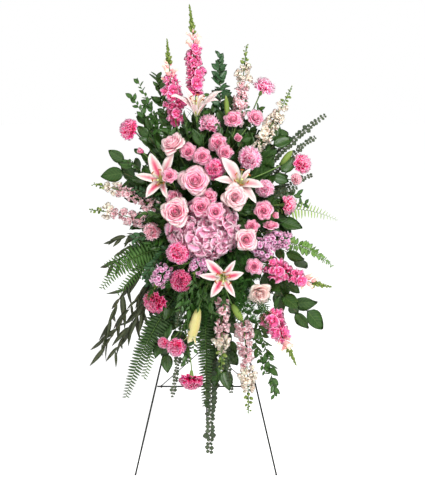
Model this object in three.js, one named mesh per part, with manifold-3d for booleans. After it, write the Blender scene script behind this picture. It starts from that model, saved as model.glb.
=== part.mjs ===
// A standing funeral spray: pink and white blooms and greenery in a wet foam block,
// held by a cage that is tied to a folding wire easel.
// Millimetres. X runs to the right, Y to the back and Z up. The spray leans back with the
// easel's front frame, so most places are given on that frame: across, out in front of it
// and up along it.
import * as THREE from 'three';
import { mergeVertices } from 'three/addons/utils/BufferGeometryUtils.js';
import Module from 'manifold-3d';

const wasm = await Module();
wasm.setup();

// Easel
const leanBack = THREE.MathUtils.degToRad(12);
const gap = 0.3;
const legRadius = 3;
const footHalfSpan = 236;
const legTop = { half: 9, up: 985 };
const hingeUp = 968;
const hingeBarRadius = 3;
const crossBarUp = 295;
const crossBarRadius = 2.5;
const rearFootBack = 520;
const braceRadius = 1.5;
const braceHalfSpan = 150;
const braceLegHeight = 325;

// Foam block, its cage and the ties
const foam = { width: 110, depth: 79, height: 230, middleUp: 835 };
const trayWall = 3.2;
const rim = { wall: 2, depth: 17 };
const hoop = { wall: 3, width: 5, ups: [775, 895] };
const foamBack = legRadius + gap + trayWall + gap;
const foamFront = foamBack + foam.depth;
const tie = { up: 835, height: 4, wall: 1.2, side: 1 };

// Plants
const stemDepth = 24;
const bladeThickness = 0.8;
const stemRadius = 2.6;
const twigRadius = 2;

const palette = {
  wire: 0x1f2a22, cage: 0x2f5a38, foam: 0x3d6b45, tieBand: 0x24402b,
  blush: 0xf6c6cc, sprayPink: 0xee7d9b, carnationPink: 0xf08bb4,
  carnationHot: 0xe2497f, lily: 0xf8e4e2, hydrangea: 0xdf9fd0, stock: 0xc88fc8,
  snapdragon: 0xe45b8f, larkspur: 0xf3d3cf, fern: 0x2f6b34, limeFern: 0x6da24a,
  salal: 0x2d5a2e, myrtle: 0x2b5432, eucalyptus: 0x56705c, willow: 0x35452f,
};

// A point on the leaning frame: across, out in front of it, up along it.
const at = (across, out, up) => new THREE.Vector3(across, -out, up);
const between = (from, to, share) => from.clone().lerp(to, share);

// A seeded draw between two values.
let seed = 20;
function draw(low, high) {
  seed = (seed * 16807) % 2147483647;
  return low + ((high - low) * seed) / 2147483647;
}

// Solids

// A closed geometry as a solid that can be joined and cut.
function solid(geometry) {
  const bare = geometry.clone();
  bare.deleteAttribute('normal');
  bare.deleteAttribute('uv');
  const merged = mergeVertices(bare, 1e-4);
  const vertProperties = new Float32Array(merged.attributes.position.array);
  const triVerts = new Uint32Array(merged.index.array);
  const body = new wasm.Manifold(new wasm.Mesh({ numProp: 3, vertProperties, triVerts }));
  if (body.volume() > 0) return body;
  return new wasm.Manifold(new wasm.Mesh({ numProp: 3, vertProperties, triVerts: triVerts.reverse() }));
}

// One body from many pieces that run into each other; a loose scrap is dropped.
function fuse(pieces) {
  const joined = pieces.map(solid).reduce((body, next) => body.add(next));
  return joined.decompose().reduce((best, next) => (next.volume() > best.volume() ? next : best));
}

function geometryOf(body) {
  const { vertProperties, triVerts } = body.simplify(0.02).getMesh();
  const geometry = new THREE.BufferGeometry();
  geometry.setAttribute('position', new THREE.BufferAttribute(new Float32Array(vertProperties), 3));
  geometry.setIndex(Array.from(triVerts));
  return geometry;
}

// A bloom turned about +Z from a profile of [radius, height, notch, phase]. A petal's edge
// has a notch: every other step round is drawn in to that share of its radius. An uneven
// bloom has its lobes drawn longer and shorter.
function turnedBloom(profile, lobes, uneven = 0) {
  const outline = profile.map(([across, up]) => new THREE.Vector2(across, up));
  const steps = 2 * lobes;
  const turned = new THREE.LatheGeometry(outline, steps);
  const { position } = turned.attributes;
  const reaches = profile.map(([, , notch]) => Array.from({ length: steps },
    () => (notch ? draw(1 - uneven, 1 + uneven) : 1)));
  for (let i = 0; i < position.count; i += 1) {
    const step = Math.floor(i / profile.length) % steps;
    const [, , notch = 1, phase = 0] = profile[i % profile.length];
    const share = ((step + phase) % 2 ? notch : 1) * reaches[i % profile.length][step];
    position.setXYZ(i, position.getX(i) * share, position.getY(i), position.getZ(i) * share);
  }
  return turned.rotateX(Math.PI / 2);
}

// A straight round bar; its section has few sides.
function bar(from, to, radius, sides = 3) {
  const section = new THREE.Shape();
  for (let i = 0; i < sides; i += 1) {
    const angle = ((i + 0.5) * 2 * Math.PI) / sides;
    section[i ? 'lineTo' : 'moveTo'](radius * Math.cos(angle), radius * Math.sin(angle));
  }
  const path = new THREE.LineCurve3(from, to);
  return new THREE.ExtrudeGeometry(section, { steps: 1, bevelEnabled: false, extrudePath: path });
}

// Straight lengths of stem through a list of points, each run a little past its bend.
function stalk(points, radius, sides) {
  const lengths = [];
  for (let i = 0; i + 1 < points.length; i += 1) {
    const along = points[i + 1].clone().sub(points[i]).normalize();
    const start = i ? points[i].clone().addScaledVector(along, -radius * 0.6) : points[i];
    lengths.push(bar(start, points[i + 1], radius, sides));
  }
  return lengths;
}

// Pieces built about +Z are set at a place, facing a direction and turned about it.
function setFacing(pieces, place, facing, turn = 0) {
  const zAxis = facing.clone().normalize();
  const helper = Math.abs(zAxis.z) > 0.9 ? new THREE.Vector3(0, 1, 0) : new THREE.Vector3(0, 0, 1);
  const xAxis = helper.cross(zAxis).normalize();
  const yAxis = zAxis.clone().cross(xAxis);
  const matrix = new THREE.Matrix4().makeBasis(xAxis, yAxis, zAxis).setPosition(place);
  matrix.multiply(new THREE.Matrix4().makeRotationZ(turn));
  return pieces.map((piece) => piece.clone().applyMatrix4(matrix));
}

// The object's pieces

const spray = new THREE.Group();
spray.rotation.x = -leanBack;
const stemHoles = [];

function addPiece(name, body, colour, roughness = 0.6, metalness = 0) {
  const material = new THREE.MeshStandardMaterial({ color: colour, roughness, metalness });
  const mesh = new THREE.Mesh(geometryOf(body), material);
  mesh.name = name;
  spray.add(mesh);
}

function box(width, depth, height, across, out, up) {
  const middle = at(across, out, up);
  return solid(new THREE.BoxGeometry(width, depth, height).translate(...middle.toArray()));
}

// A place on the level floor's axes, seen from the leaning frame.
function fromFloor(across, back, up) {
  return new THREE.Vector3(across, back, up).applyAxisAngle(new THREE.Vector3(1, 0, 0), leanBack);
}

const legHalfAt = (up) => footHalfSpan - ((footHalfSpan - legTop.half) * up) / legTop.up;

// What lies below the floor, to cut the feet flat.
function belowFloor() {
  const slab = new THREE.BoxGeometry(1400, 1400, 80).translate(0, 0, -40);
  return solid(slab.rotateX(leanBack));
}

function frontLeg(side) {
  const foot = at(side * legHalfAt(-20), 0, -20);
  const top = at(side * legTop.half, 0, legTop.up);
  return solid(bar(foot, top, legRadius, 8)).subtract(belowFloor());
}

function barBetweenLegs(up, radius) {
  const half = legHalfAt(up + radius) - legRadius * 1.03 - gap;
  return solid(bar(at(-half, 0, up), at(half, 0, up), radius, 8));
}

// A round eye of wire about a bar that runs across.
function eye(place, barRadius, wireRadius, clearance) {
  const ring = new THREE.TorusGeometry(barRadius + clearance + wireRadius, wireRadius, 4, 9);
  return ring.rotateY(Math.PI / 2).translate(...place.toArray());
}

function rearLeg() {
  const hinge = at(0, 0, hingeUp);
  const foot = fromFloor(0, rearFootBack, 0);
  const along = foot.clone().sub(hinge).normalize();
  const start = hinge.clone().addScaledVector(along, hingeBarRadius + gap + legRadius);
  const end = foot.clone().addScaledVector(along, 12);
  const leg = fuse([eye(hinge, hingeBarRadius, 2.5, 0.6), bar(start, end, legRadius, 8)]);
  return leg.subtract(belowFloor());
}

// The brace is one wire: an eye on each end of the cross bar and a bend behind the rear leg.
function brace() {
  const hinge = at(0, 0, hingeUp);
  const foot = fromFloor(0, rearFootBack, 0);
  const level = (point) => point.clone().applyAxisAngle(new THREE.Vector3(1, 0, 0), -leanBack).z;
  const share = (level(hinge) - braceLegHeight) / level(hinge);
  const crossing = between(hinge, foot, share);
  const barMiddle = at(0, 0, crossBarUp);
  const outward = crossing.clone().sub(barMiddle).normalize();
  const bend = crossing.clone().addScaledVector(outward, legRadius + gap + braceRadius + 0.1);
  const pieces = [];
  const corners = [];
  for (const side of [-1, 1]) {
    const eyeMiddle = at(side * braceHalfSpan, 0, crossBarUp);
    pieces.push(eye(eyeMiddle, crossBarRadius, braceRadius, 0.6));
    const start = eyeMiddle.clone().addScaledVector(outward, crossBarRadius + 0.6 + braceRadius);
    const corner = bend.clone().add(at(side * 5.5, 0, 0));
    pieces.push(bar(start, corner.clone().addScaledVector(outward, 0.8), braceRadius, 4));
    corners.push(corner);
  }
  pieces.push(bar(corners[0].add(at(-0.8, 0, 0)), corners[1].add(at(0.8, 0, 0)), braceRadius, 4));
  return fuse(pieces);
}

// A cable tie's loop about a leg and the tray's back, grown or shrunk by a clearance.
function tieLoop(side, grow = 0) {
  const across = side * legHalfAt(tie.up);
  const reach = legRadius + gap + tie.side;
  const back = -legRadius - gap;
  const front = foamBack - gap - tie.wall;
  const depth = front - back;
  const middle = (front + back) / 2;
  const outer = 2 * (tie.wall + grow);
  const ring = box(2 * reach + outer, depth + outer, tie.height + 2 * grow, across, middle, tie.up);
  const inside = box(2 * reach - 2 * grow, depth - 2 * grow, tie.height * 3, across, middle, tie.up);
  return ring.subtract(inside);
}

// A shallow tray behind the foam, with two straps over it.
function foamCage() {
  const { width, height, middleUp } = foam;
  const back = legRadius + gap;
  const inner = width + 2 * gap;
  const depth = trayWall + gap + rim.depth;
  const tray = box(inner + 2 * rim.wall, depth, height + 2 * (gap + rim.wall), 0, back + depth / 2, middleUp);
  const hollow = box(inner, depth, height + 2 * gap, 0, back + trayWall + depth / 2, middleUp);
  let cage = tray.subtract(hollow);
  const strapDepth = foamFront + gap + hoop.wall - back - trayWall;
  for (const up of hoop.ups) {
    const out = back + trayWall + strapDepth / 2;
    const strap = box(inner + 2 * hoop.wall, strapDepth, hoop.width, 0, out, up);
    cage = cage.add(strap.subtract(box(inner, strapDepth * 2, 40, 0, out - strapDepth / 2 - hoop.wall, up)));
  }
  return cage.subtract(tieLoop(-1, gap)).subtract(tieLoop(1, gap));
}

function foamBlock() {
  const block = box(foam.width, foam.depth, foam.height, 0, foamBack + foam.depth / 2, foam.middleUp);
  return stemHoles.reduce((body, hole) => body.subtract(hole), block);
}

// Plants

// A stem from its hole in the foam through a list of points. The hole is cut a gap wider.
function rooted(root, points, radius = stemRadius, sides = 3) {
  const along = points[0].clone().sub(root).normalize();
  const deep = root.clone().addScaledVector(along, -stemDepth);
  const past = root.clone().addScaledVector(along, 30);
  const wall = gap / Math.cos(Math.PI / sides);
  stemHoles.push(solid(bar(deep.clone().addScaledVector(along, -gap), past, radius + wall, sides)));
  return stalk([deep, ...points], radius, sides);
}

const scaled = (profile, radius) => profile.map(
  ([across, up, ...edge]) => [across * radius, up * radius, ...edge]);

// Three whorls of petals round a closed heart.
function roseHead(radius) {
  return [turnedBloom(scaled([[0, -0.66], [0.42, -0.48], [1, -0.08, 0.86], [0.6, -0.12], [0.74, 0.2, 0.84, 1],
    [0.4, 0.12], [0.46, 0.42, 0.84], [0.2, 0.28], [0, 0.4]], radius), 5)];
}

function sprayRoseHead(radius) {
  return [turnedBloom(scaled([[0, -0.6], [1, 0, 0.82], [0.56, 0], [0.66, 0.38, 0.8, 1], [0.24, 0.22],
    [0, 0.36]], radius), 5)];
}

// Three ruffled layers over a slim calyx.
function carnationHead(radius) {
  return [turnedBloom(scaled([[0, -0.85], [0.22, -0.45], [1, -0.02, 0.84], [0.55, 0.08],
    [0.8, 0.3, 0.82, 1], [0.32, 0.3], [0.42, 0.52, 0.7], [0, 0.4]], radius), 6)];
}

// A funnel with a lobed edge, its root at the origin.
function floret(lobes, radius, depth) {
  return turnedBloom([[0, 0], [radius, depth, 0.55], [0, depth * 0.55]], lobes);
}

// A round bud or closed bloom, root at the origin and tip towards +Z.
function budHead(length, radius, sides = 5) {
  const profile = [[0, 0], [radius * 0.7, length * 0.18], [radius, length * 0.55], [0, length]];
  const turned = new THREE.LatheGeometry(profile.map(([x, y]) => new THREE.Vector2(x, y)), sides);
  return [turned.rotateX(Math.PI / 2)];
}

const facing = (across, out, up) => at(across, out, up).normalize();
const front = facing(0, 1, 0.1);

// Where a stem ends in the back of a head, a little to one side of its middle.
function backOf(place, way, size) {
  const sideways = way.clone().cross(new THREE.Vector3(0, 0, 1)).normalize();
  return place.clone().addScaledVector(way, -size * 0.22).addScaledVector(sideways, size * 0.18);
}

// A forked stem: one foot in the foam, then a branch to the back of each head.
function forked(root, fork, heads, makeHead, radius = twigRadius) {
  const pieces = fork ? rooted(root, [fork]) : [];
  for (const [place, size, way = front] of heads) {
    const end = backOf(place, way, size);
    pieces.push(...(fork ? [bar(fork, end, radius)] : rooted(root, [end])));
    pieces.push(...setFacing(makeHead(size), place, way, draw(0, 1)));
  }
  return fuse(pieces);
}

// An open lily: one turned body whose rim is drawn out to six given tepal tips, with the
// throat sunk in the middle and the pistil standing in it.
function lilyHead(place, towards, tips, size) {
  const [xAxis, yAxis] = [new THREE.Vector3(), new THREE.Vector3()];
  new THREE.Matrix4().lookAt(towards, new THREE.Vector3(), new THREE.Vector3(0, 0, 1))
    .extractBasis(xAxis, yAxis, new THREE.Vector3());
  const angleOf = (tip) => Math.atan2(tip.dot(yAxis), tip.dot(xAxis));
  const ordered = tips.map((tip) => at(...tip)).sort((a, b) => angleOf(a) - angleOf(b));
  const rimPoints = [];
  ordered.forEach((tip, i) => {
    const next = ordered[(i + 1) % ordered.length];
    const sideways = towards.clone().cross(tip).normalize().multiplyScalar(size * (i % 2 ? 0.18 : 0.25));
    const belly = tip.clone().multiplyScalar(0.55).addScaledVector(towards, size * 0.06);
    const notch = tip.clone().normalize().add(next.clone().normalize()).multiplyScalar(size * 0.08);
    rimPoints.push(belly.clone().sub(sideways), tip, belly.clone().add(sideways), notch);
  });
  const base = towards.clone().multiplyScalar(-size * 0.4);
  const pistil = towards.clone().multiplyScalar(size * 0.25);
  const square = [[0, 0], [1, 0], [1, 1], [0, 1]].map(([x, y]) => new THREE.Vector2(x, y));
  const body = new THREE.LatheGeometry(square, rimPoints.length);
  const { position } = body.attributes;
  for (let i = 0; i < position.count; i += 1) {
    const rimPoint = rimPoints[Math.floor(i / 4) % rimPoints.length];
    const throat = rimPoint.clone().multiplyScalar(0.12).addScaledVector(towards, -size * 0.12);
    position.setXYZ(i, ...[base, rimPoint, throat, pistil][i % 4].clone().add(place).toArray());
  }
  return [body];
}

// A flower spike: uneven whorls of lobed florets up a stem, then small buds to its tip.
function spike(base, tip, { whorls, reach, tipReach, lobes = 4, buds = 0, stem = 3 }) {
  const along = tip.clone().sub(base);
  const length = along.length();
  const pitch = length / (whorls + buds * 0.6 + 0.4);
  const profile = [[0, 0], [stem, pitch * 0.15]];
  let up = pitch * 0.2;
  for (let i = 0; i < whorls + buds; i += 1) {
    const bloom = i < whorls;
    const size = bloom ? reach + (tipReach - reach) * (i / (whorls + buds)) : tipReach * 0.45;
    profile.push([size, up + pitch * (bloom ? 0.5 : 0.35), bloom ? 0.5 : 0.6, i % 2]);
    up += pitch * (bloom ? 1 : 0.6);
    profile.push([bloom ? size * 0.22 + 1 : 1.8, up - pitch * 0.15]);
  }
  profile.push([0, length]);
  const body = turnedBloom(profile, lobes, 0.16);
  return [...setFacing([body], base, along, draw(0, 1))];
}

// The outline of one leaflet: across as a share of its reach, along in pitches.
const leafletOutlines = {
  fern: [[1, 0.7], [0, 0.85]],
  pointed: [[0.5, 0.1], [1, 0.8], [0.55, 0.95], [0, 0.6]],
  round: [[0.75, 0.05], [1, 0.45], [0.7, 0.85], [0, 0.5]],
  long: [[0.45, 0.5], [1, 1.5], [0.35, 1], [0, 0.55]],
  oval: [[0.35, 0], [0.8, 0.12], [1, 0.55], [0.75, 0.8], [0.3, 0.62], [0, 0.3]],
};

// A frond or small-leaved twig: one thin arched blade along a path of four points, with its
// leaflets cut to the rib, opposite or by turns. The rib and each leaflet are filled with
// faces of their own, so that none runs past a bend.
function frond(points, reach, leaflets, kind = 'fern', byTurns = 0) {
  const path = new THREE.CubicBezierCurve3(...points);
  const length = path.getLength();
  const pitch = length / (leaflets + 0.5);
  const ribHalf = 1.3;
  const reachAt = (share) => reach * Math.sin(Math.PI * (0.22 + 0.7 * share)) ** 0.7;
  const edge = (side, shift) => [new THREE.Vector2(side * ribHalf, 0),
    ...Array.from({ length: leaflets }, (_, i) => leafletOutlines[kind].map(
      ([across, along]) => new THREE.Vector2(side * Math.max(ribHalf, across * reachAt(i / leaflets)),
        Math.min(pitch * (i + along + shift), length - 1)))).flat()];
  const outline = [...edge(1, 0), new THREE.Vector2(0, length), ...edge(-1, byTurns).reverse()];

  // Points are counted up the right edge to the tip and down the left one.
  const count = outline.length;
  const steps = leafletOutlines[kind].length;
  const opposite = (k) => count - 1 - k;
  const faces = [];
  for (let from = 0; from < leaflets * steps; from += steps) {
    const to = from + steps;
    faces.push([from, to, opposite(from)], [to, opposite(to), opposite(from)]);
    const onRight = Array.from({ length: steps + 1 }, (_, k) => from + k);
    for (const leaflet of [onRight, onRight.map(opposite)]) {
      const filled = THREE.ShapeUtils.triangulateShape(leaflet.map((k) => outline[k]), []);
      faces.push(...filled.map((face) => face.map((k) => leaflet[k])));
    }
  }
  faces.push([leaflets * steps, leaflets * steps + 1, leaflets * steps + 2]);

  const corners = [0, bladeThickness].flatMap((rise) => outline.map(({ x, y }) => {
    const share = THREE.MathUtils.clamp(y / length, 0, 1);
    const along = path.getTangentAt(share);
    const sideways = along.clone().cross(front).normalize();
    const up = sideways.clone().cross(along);
    const place = path.getPointAt(share).addScaledVector(sideways, x);
    return place.addScaledVector(up, rise - (x * x) / (reach * 6));
  }));
  const sides = outline.flatMap((_, i) => {
    const next = (i + 1) % count;
    return [i, next, next + count, i, next + count, i + count];
  });
  const blade = new THREE.BufferGeometry().setFromPoints(corners);
  blade.setIndex([...faces.flatMap(([a, b, c]) => [c, b, a, a + count, b + count, c + count]), ...sides]);
  return blade;
}

// Easel, cage and foam

function buildEasel() {
  const wire = [palette.wire, 0.45, 0.3];
  addPiece('front_leg_left', frontLeg(-1), ...wire);
  addPiece('front_leg_right', frontLeg(1), ...wire);
  addPiece('cross_bar', barBetweenLegs(crossBarUp, crossBarRadius), ...wire);
  addPiece('hinge_bar', barBetweenLegs(hingeUp, hingeBarRadius), ...wire);
  addPiece('rear_leg', rearLeg(), ...wire);
  addPiece('brace', brace(), ...wire);
  addPiece('foam_cage', foamCage(), palette.cage);
  addPiece('cage_tie_left', tieLoop(-1), palette.tieBand);
  addPiece('cage_tie_right', tieLoop(1), palette.tieBand);
}

// Plants, by kind. Each is rooted at a place on the foam's front, top, bottom or sides.

const foamTop = foam.middleUp + foam.height / 2;
const foamBottom = foam.middleUp - foam.height / 2;
const foamSide = foam.width / 2;
const onFront = (across, up) => at(across, foamFront, up);
const onTop = (across, out) => at(across, out, foamTop);
const onBottom = (across, out) => at(across, out, foamBottom);
const onSide = (side, out, up) => at(side * foamSide, out, up);

function buildRoses() {
  const rose = (name, root, place, size, towards, bend = null) => addPiece(name,
    forked(root, bend, [[place, size, towards]], roseHead), palette.blush);
  rose('rose_upper_left', onFront(-24, 940), at(-110, 150, 1095), 40, facing(-0.5, 0.8, 0.6));
  rose('rose_centre', onFront(-12, 915), at(-30, 180, 970), 48, facing(0, 1, 0.15));
  rose('rose_left', onFront(-40, 864), at(-96, 190, 868), 46, facing(-0.1, 1, 0.1));
  rose('rose_right', onFront(34, 872), at(97, 186, 914), 41, facing(0.15, 1, 0));
  rose('rose_low_right', onSide(1, 74, 795), at(131, 172, 780), 35, facing(0.2, 1, -0.1), at(98, 88, 792));
  rose('rose_hanging', onSide(1, 72, 730), at(177, 122, 610), 37, facing(0.25, 0.5, -0.75));
}

function buildLilies() {
  const lily = (name, root, place, towards, tips, size, extras = []) => {
    const pieces = [...rooted(root, [backOf(place, towards, size * 0.6)]),
      ...lilyHead(place, towards, tips, size), ...extras];
    addPiece(name, fuse(pieces), palette.lily);
  };
  // A closed bud on its own branch.
  const bud = (from, root, tip, radius) => {
    const along = tip.clone().sub(root);
    return [bar(from, root.clone().addScaledVector(along, 0.05), twigRadius),
      ...setFacing(budHead(along.length(), radius), root, along)];
  };
  lily('lily_top', onTop(-12, 74), at(-30, 132, 1216), facing(0, 0.7, 1),
    [[-48, 5, 75], [-85, 25, 30], [85, 0, 55], [72, 45, 12], [25, -22, 45], [-15, 65, -5]], 78,
    bud(at(-14, 80, 985), at(74, 94, 1165), at(66, 92, 1262), 9));
  lily('lily_left', onFront(-44, 925), at(-145, 150, 975), facing(-0.2, 1, 0.1),
    [[-35, 0, 88], [42, -10, 95], [-85, 5, 15], [-47, 20, -60], [22, 15, -64], [66, -25, 22]], 76);
  lily('lily_right', onFront(32, 935), at(112, 160, 968), facing(0.1, 1, 0.3),
    [[-62, 10, 78], [34, -5, 45], [-86, 25, 5], [75, 10, -18], [52, 5, -72], [-20, -20, -50]], 78,
    bud(at(72, 122, 952), at(245, 98, 1030), at(285, 95, 1078), 10));
  lily('lily_low', onFront(18, 745), at(56, 172, 658), facing(0, 1, -0.1),
    [[-56, 5, 60], [40, 0, 57], [-78, 15, 8], [66, 5, 16], [-40, 15, -62], [38, 20, -62]], 76,
    [...bud(at(38, 124, 703), at(-22, 122, 560), at(-52, 112, 450), 14),
      ...bud(at(38, 124, 703), at(94, 124, 582), at(127, 118, 512), 9)]);
}

function buildCarnations() {
  const carnations = (name, colour, root, fork, heads) => addPiece(name,
    forked(root, fork, heads, carnationHead), palette[colour]);
  carnations('carnation_top_right', 'carnationPink', onTop(42, 42), null,
    [[at(200, 70, 1300), 36, facing(0.7, 0.2, 0.8)]]);
  carnations('carnation_top', 'carnationPink', onTop(8, 80), null,
    [[at(10, 110, 1170), 37, facing(0, 0.6, 0.8)]]);
  carnations('carnation_far_left', 'carnationHot', onSide(-1, 72, 935), null,
    [[at(-265, 72, 1155), 32, facing(-1, 0.4, 0.2)]]);
  carnations('carnation_upper_right', 'carnationPink', onFront(45, 938), null, [[at(142, 140, 1048), 39]]);
  carnations('carnation_centre', 'carnationHot', onFront(16, 925), null, [[at(28, 160, 1012), 36]]);
  carnations('carnations_far_right', 'carnationPink', onSide(1, 70, 925), at(250, 68, 995), [
    [at(330, 70, 1040), 30, facing(1, 0.4, 0.4)], [at(300, 85, 985), 22, facing(0.5, 1, 0)]]);
  carnations('carnations_right', 'carnationPink', onSide(1, 70, 862), at(120, 75, 900), [
    [at(192, 130, 950), 32], [at(280, 90, 900), 28, facing(1, 0.4, 0)]]);
  carnations('carnations_left', 'carnationHot', onFront(-44, 800), at(-70, 110, 782), [
    [at(-90, 155, 742), 40], [at(-180, 110, 810), 28, facing(-0.3, 1, 0)]]);
  carnations('carnations_lower_left', 'carnationHot', onFront(-32, 736), at(-75, 100, 690), [
    [at(-80, 140, 650), 37], [at(-170, 100, 575), 33, facing(-0.5, 0.5, -0.5)]]);
  carnations('carnations_hanging', 'carnationHot', onBottom(-30, 60), at(-70, 75, 500), [
    [at(-95, 90, 425), 32, facing(-0.2, 0.6, -0.6)], [at(-45, 80, 315), 36, facing(0, 0.25, -1)]]);
}

function buildSprayRoses() {
  const sprayOf = (name, root, fork, heads) => addPiece(name,
    forked(root, fork, heads, sprayRoseHead), palette.sprayPink);
  sprayOf('spray_roses_top', onTop(40, 78), at(80, 90, 1080), [
    [at(90, 118, 1180), 29], [at(165, 95, 1190), 26, facing(0.4, 1, 0.3)], [at(105, 125, 1115), 17]]);
  sprayOf('spray_roses_upper', onTop(22, 70), at(15, 100, 1010), [
    [at(38, 135, 1098), 26], [at(62, 150, 1066), 23], [at(-55, 150, 1068), 25], [at(-12, 160, 1052), 25]]);
  sprayOf('spray_roses_left', onFront(-42, 880), at(-85, 115, 925), [
    [at(-115, 195, 985), 21], [at(-105, 140, 920), 24, facing(-0.4, 1, 0.2)],
    [at(-215, 84, 1078), 14, facing(-0.6, 0.6, 0.4)]]);
  sprayOf('spray_roses_centre', onFront(4, 886), at(8, 130, 914), [
    [at(8, 165, 922), 25, facing(0, 1, 0.5)], [at(-14, 186, 886), 28], [at(32, 204, 868), 27]]);
  sprayOf('spray_roses_right', onFront(50, 850), at(150, 110, 868), [
    [at(187, 150, 876), 27], [at(225, 130, 862), 14, facing(0.6, 1, 0)]]);
  sprayOf('spray_roses_low_right', onSide(1, 74, 822), at(104, 92, 818), [
    [at(150, 138, 826), 21], [at(212, 128, 830), 24, facing(0, 0.6, 1)], [at(157, 145, 695), 24]]);
}

// A ball of four-petalled florets on a domed core, behind the central blooms.
function buildHydrangea() {
  const middle = at(8, 112, 804);
  const spread = new THREE.Vector3(74, 46, 74);
  const floretDepth = 12;
  const coreSpread = spread.clone().subScalar(floretDepth - 4).toArray();
  const core = new THREE.IcosahedronGeometry(1, 1).scale(...coreSpread);
  const pieces = [core.translate(...middle.toArray())];
  const count = 22;
  for (let i = 0; i < count; i += 1) {
    const out = 1 - (1.1 * (i + 0.5)) / count;
    const turn = i * 2.4;
    const ringRadius = Math.sqrt(1 - out * out);
    const way = at(Math.cos(turn) * ringRadius, out, Math.sin(turn) * ringRadius);
    const place = way.clone().multiply(spread).add(middle).addScaledVector(way, -floretDepth);
    pieces.push(...setFacing([floret(4, 25, floretDepth)], place, way, turn));
  }
  const clearance = 4;
  const behind = box(400, 200, 400, 0, foamFront + clearance - 100, 806);
  const head = fuse(pieces).subtract(behind);
  const stem = rooted(onFront(12, 806), [middle], 3.5).map(solid);
  addPiece('hydrangea', stem.reduce((body, next) => body.add(next), head), palette.hydrangea);
}

function buildSpikes() {
  // Each spike grows from a branch of one foot in the foam.
  const spikes = (name, colour, root, fork, rule, list) => {
    const pieces = rooted(root, [fork]);
    for (const [base, tip, more = {}] of list) {
      pieces.push(bar(fork, between(base, tip, 0.04), stemRadius), ...spike(base, tip, { ...rule, ...more }));
    }
    addPiece(name, fuse(pieces), palette[colour]);
  };
  const snapdragon = { whorls: 6, reach: 34, tipReach: 20, buds: 2 };
  spikes('snapdragons_top', 'snapdragon', onTop(-20, 62), at(-26, 72, 1020), snapdragon, [
    [at(-34, 82, 1262), at(-55, 70, 1570), { buds: 3 }], [at(-100, 92, 1175), at(-130, 70, 1455)]]);
  spikes('snapdragons_right', 'snapdragon', onSide(1, 54, 732), at(125, 72, 695), snapdragon, [
    [at(200, 108, 700), at(410, 88, 630), { whorls: 4, buds: 2, reach: 36 }],
    [at(202, 74, 545), at(295, 78, 375), { whorls: 5, reach: 30 }]]);

  const larkspur = { whorls: 5, reach: 25, tipReach: 15, buds: 3 };
  spikes('larkspur_top', 'larkspur', onTop(26, 58), at(45, 72, 1020), larkspur, [
    [at(100, 88, 1165), at(135, 70, 1435)], [at(165, 82, 1080), at(285, 62, 1295)]]);
  spikes('larkspur_left', 'larkspur', onSide(-1, 62, 855), at(-110, 76, 858), larkspur, [
    [at(-165, 88, 890), at(-375, 62, 970)], [at(-200, 82, 842), at(-385, 60, 885), { whorls: 4 }]]);
  spikes('larkspur_hanging', 'larkspur', onBottom(14, 66), at(35, 80, 670), larkspur, [
    [at(52, 100, 590), at(50, 92, 355)], [at(122, 98, 515), at(140, 75, 215), { buds: 4 }]]);

  const stock = { whorls: 3, reach: 36, tipReach: 26, lobes: 5 };
  spikes('stock_left', 'stock', onFront(-20, 742), at(-60, 105, 705), stock, [
    [at(-130, 100, 690), at(-165, 125, 625)], [at(-12, 112, 715), at(-38, 140, 665), { reach: 30 }]]);
  spikes('stock_right', 'stock', onSide(1, 70, 763), at(130, 92, 768), stock, [
    [at(162, 104, 768), at(215, 120, 722)], [at(195, 88, 780), at(288, 96, 775), { reach: 30 }]]);
}

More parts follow.
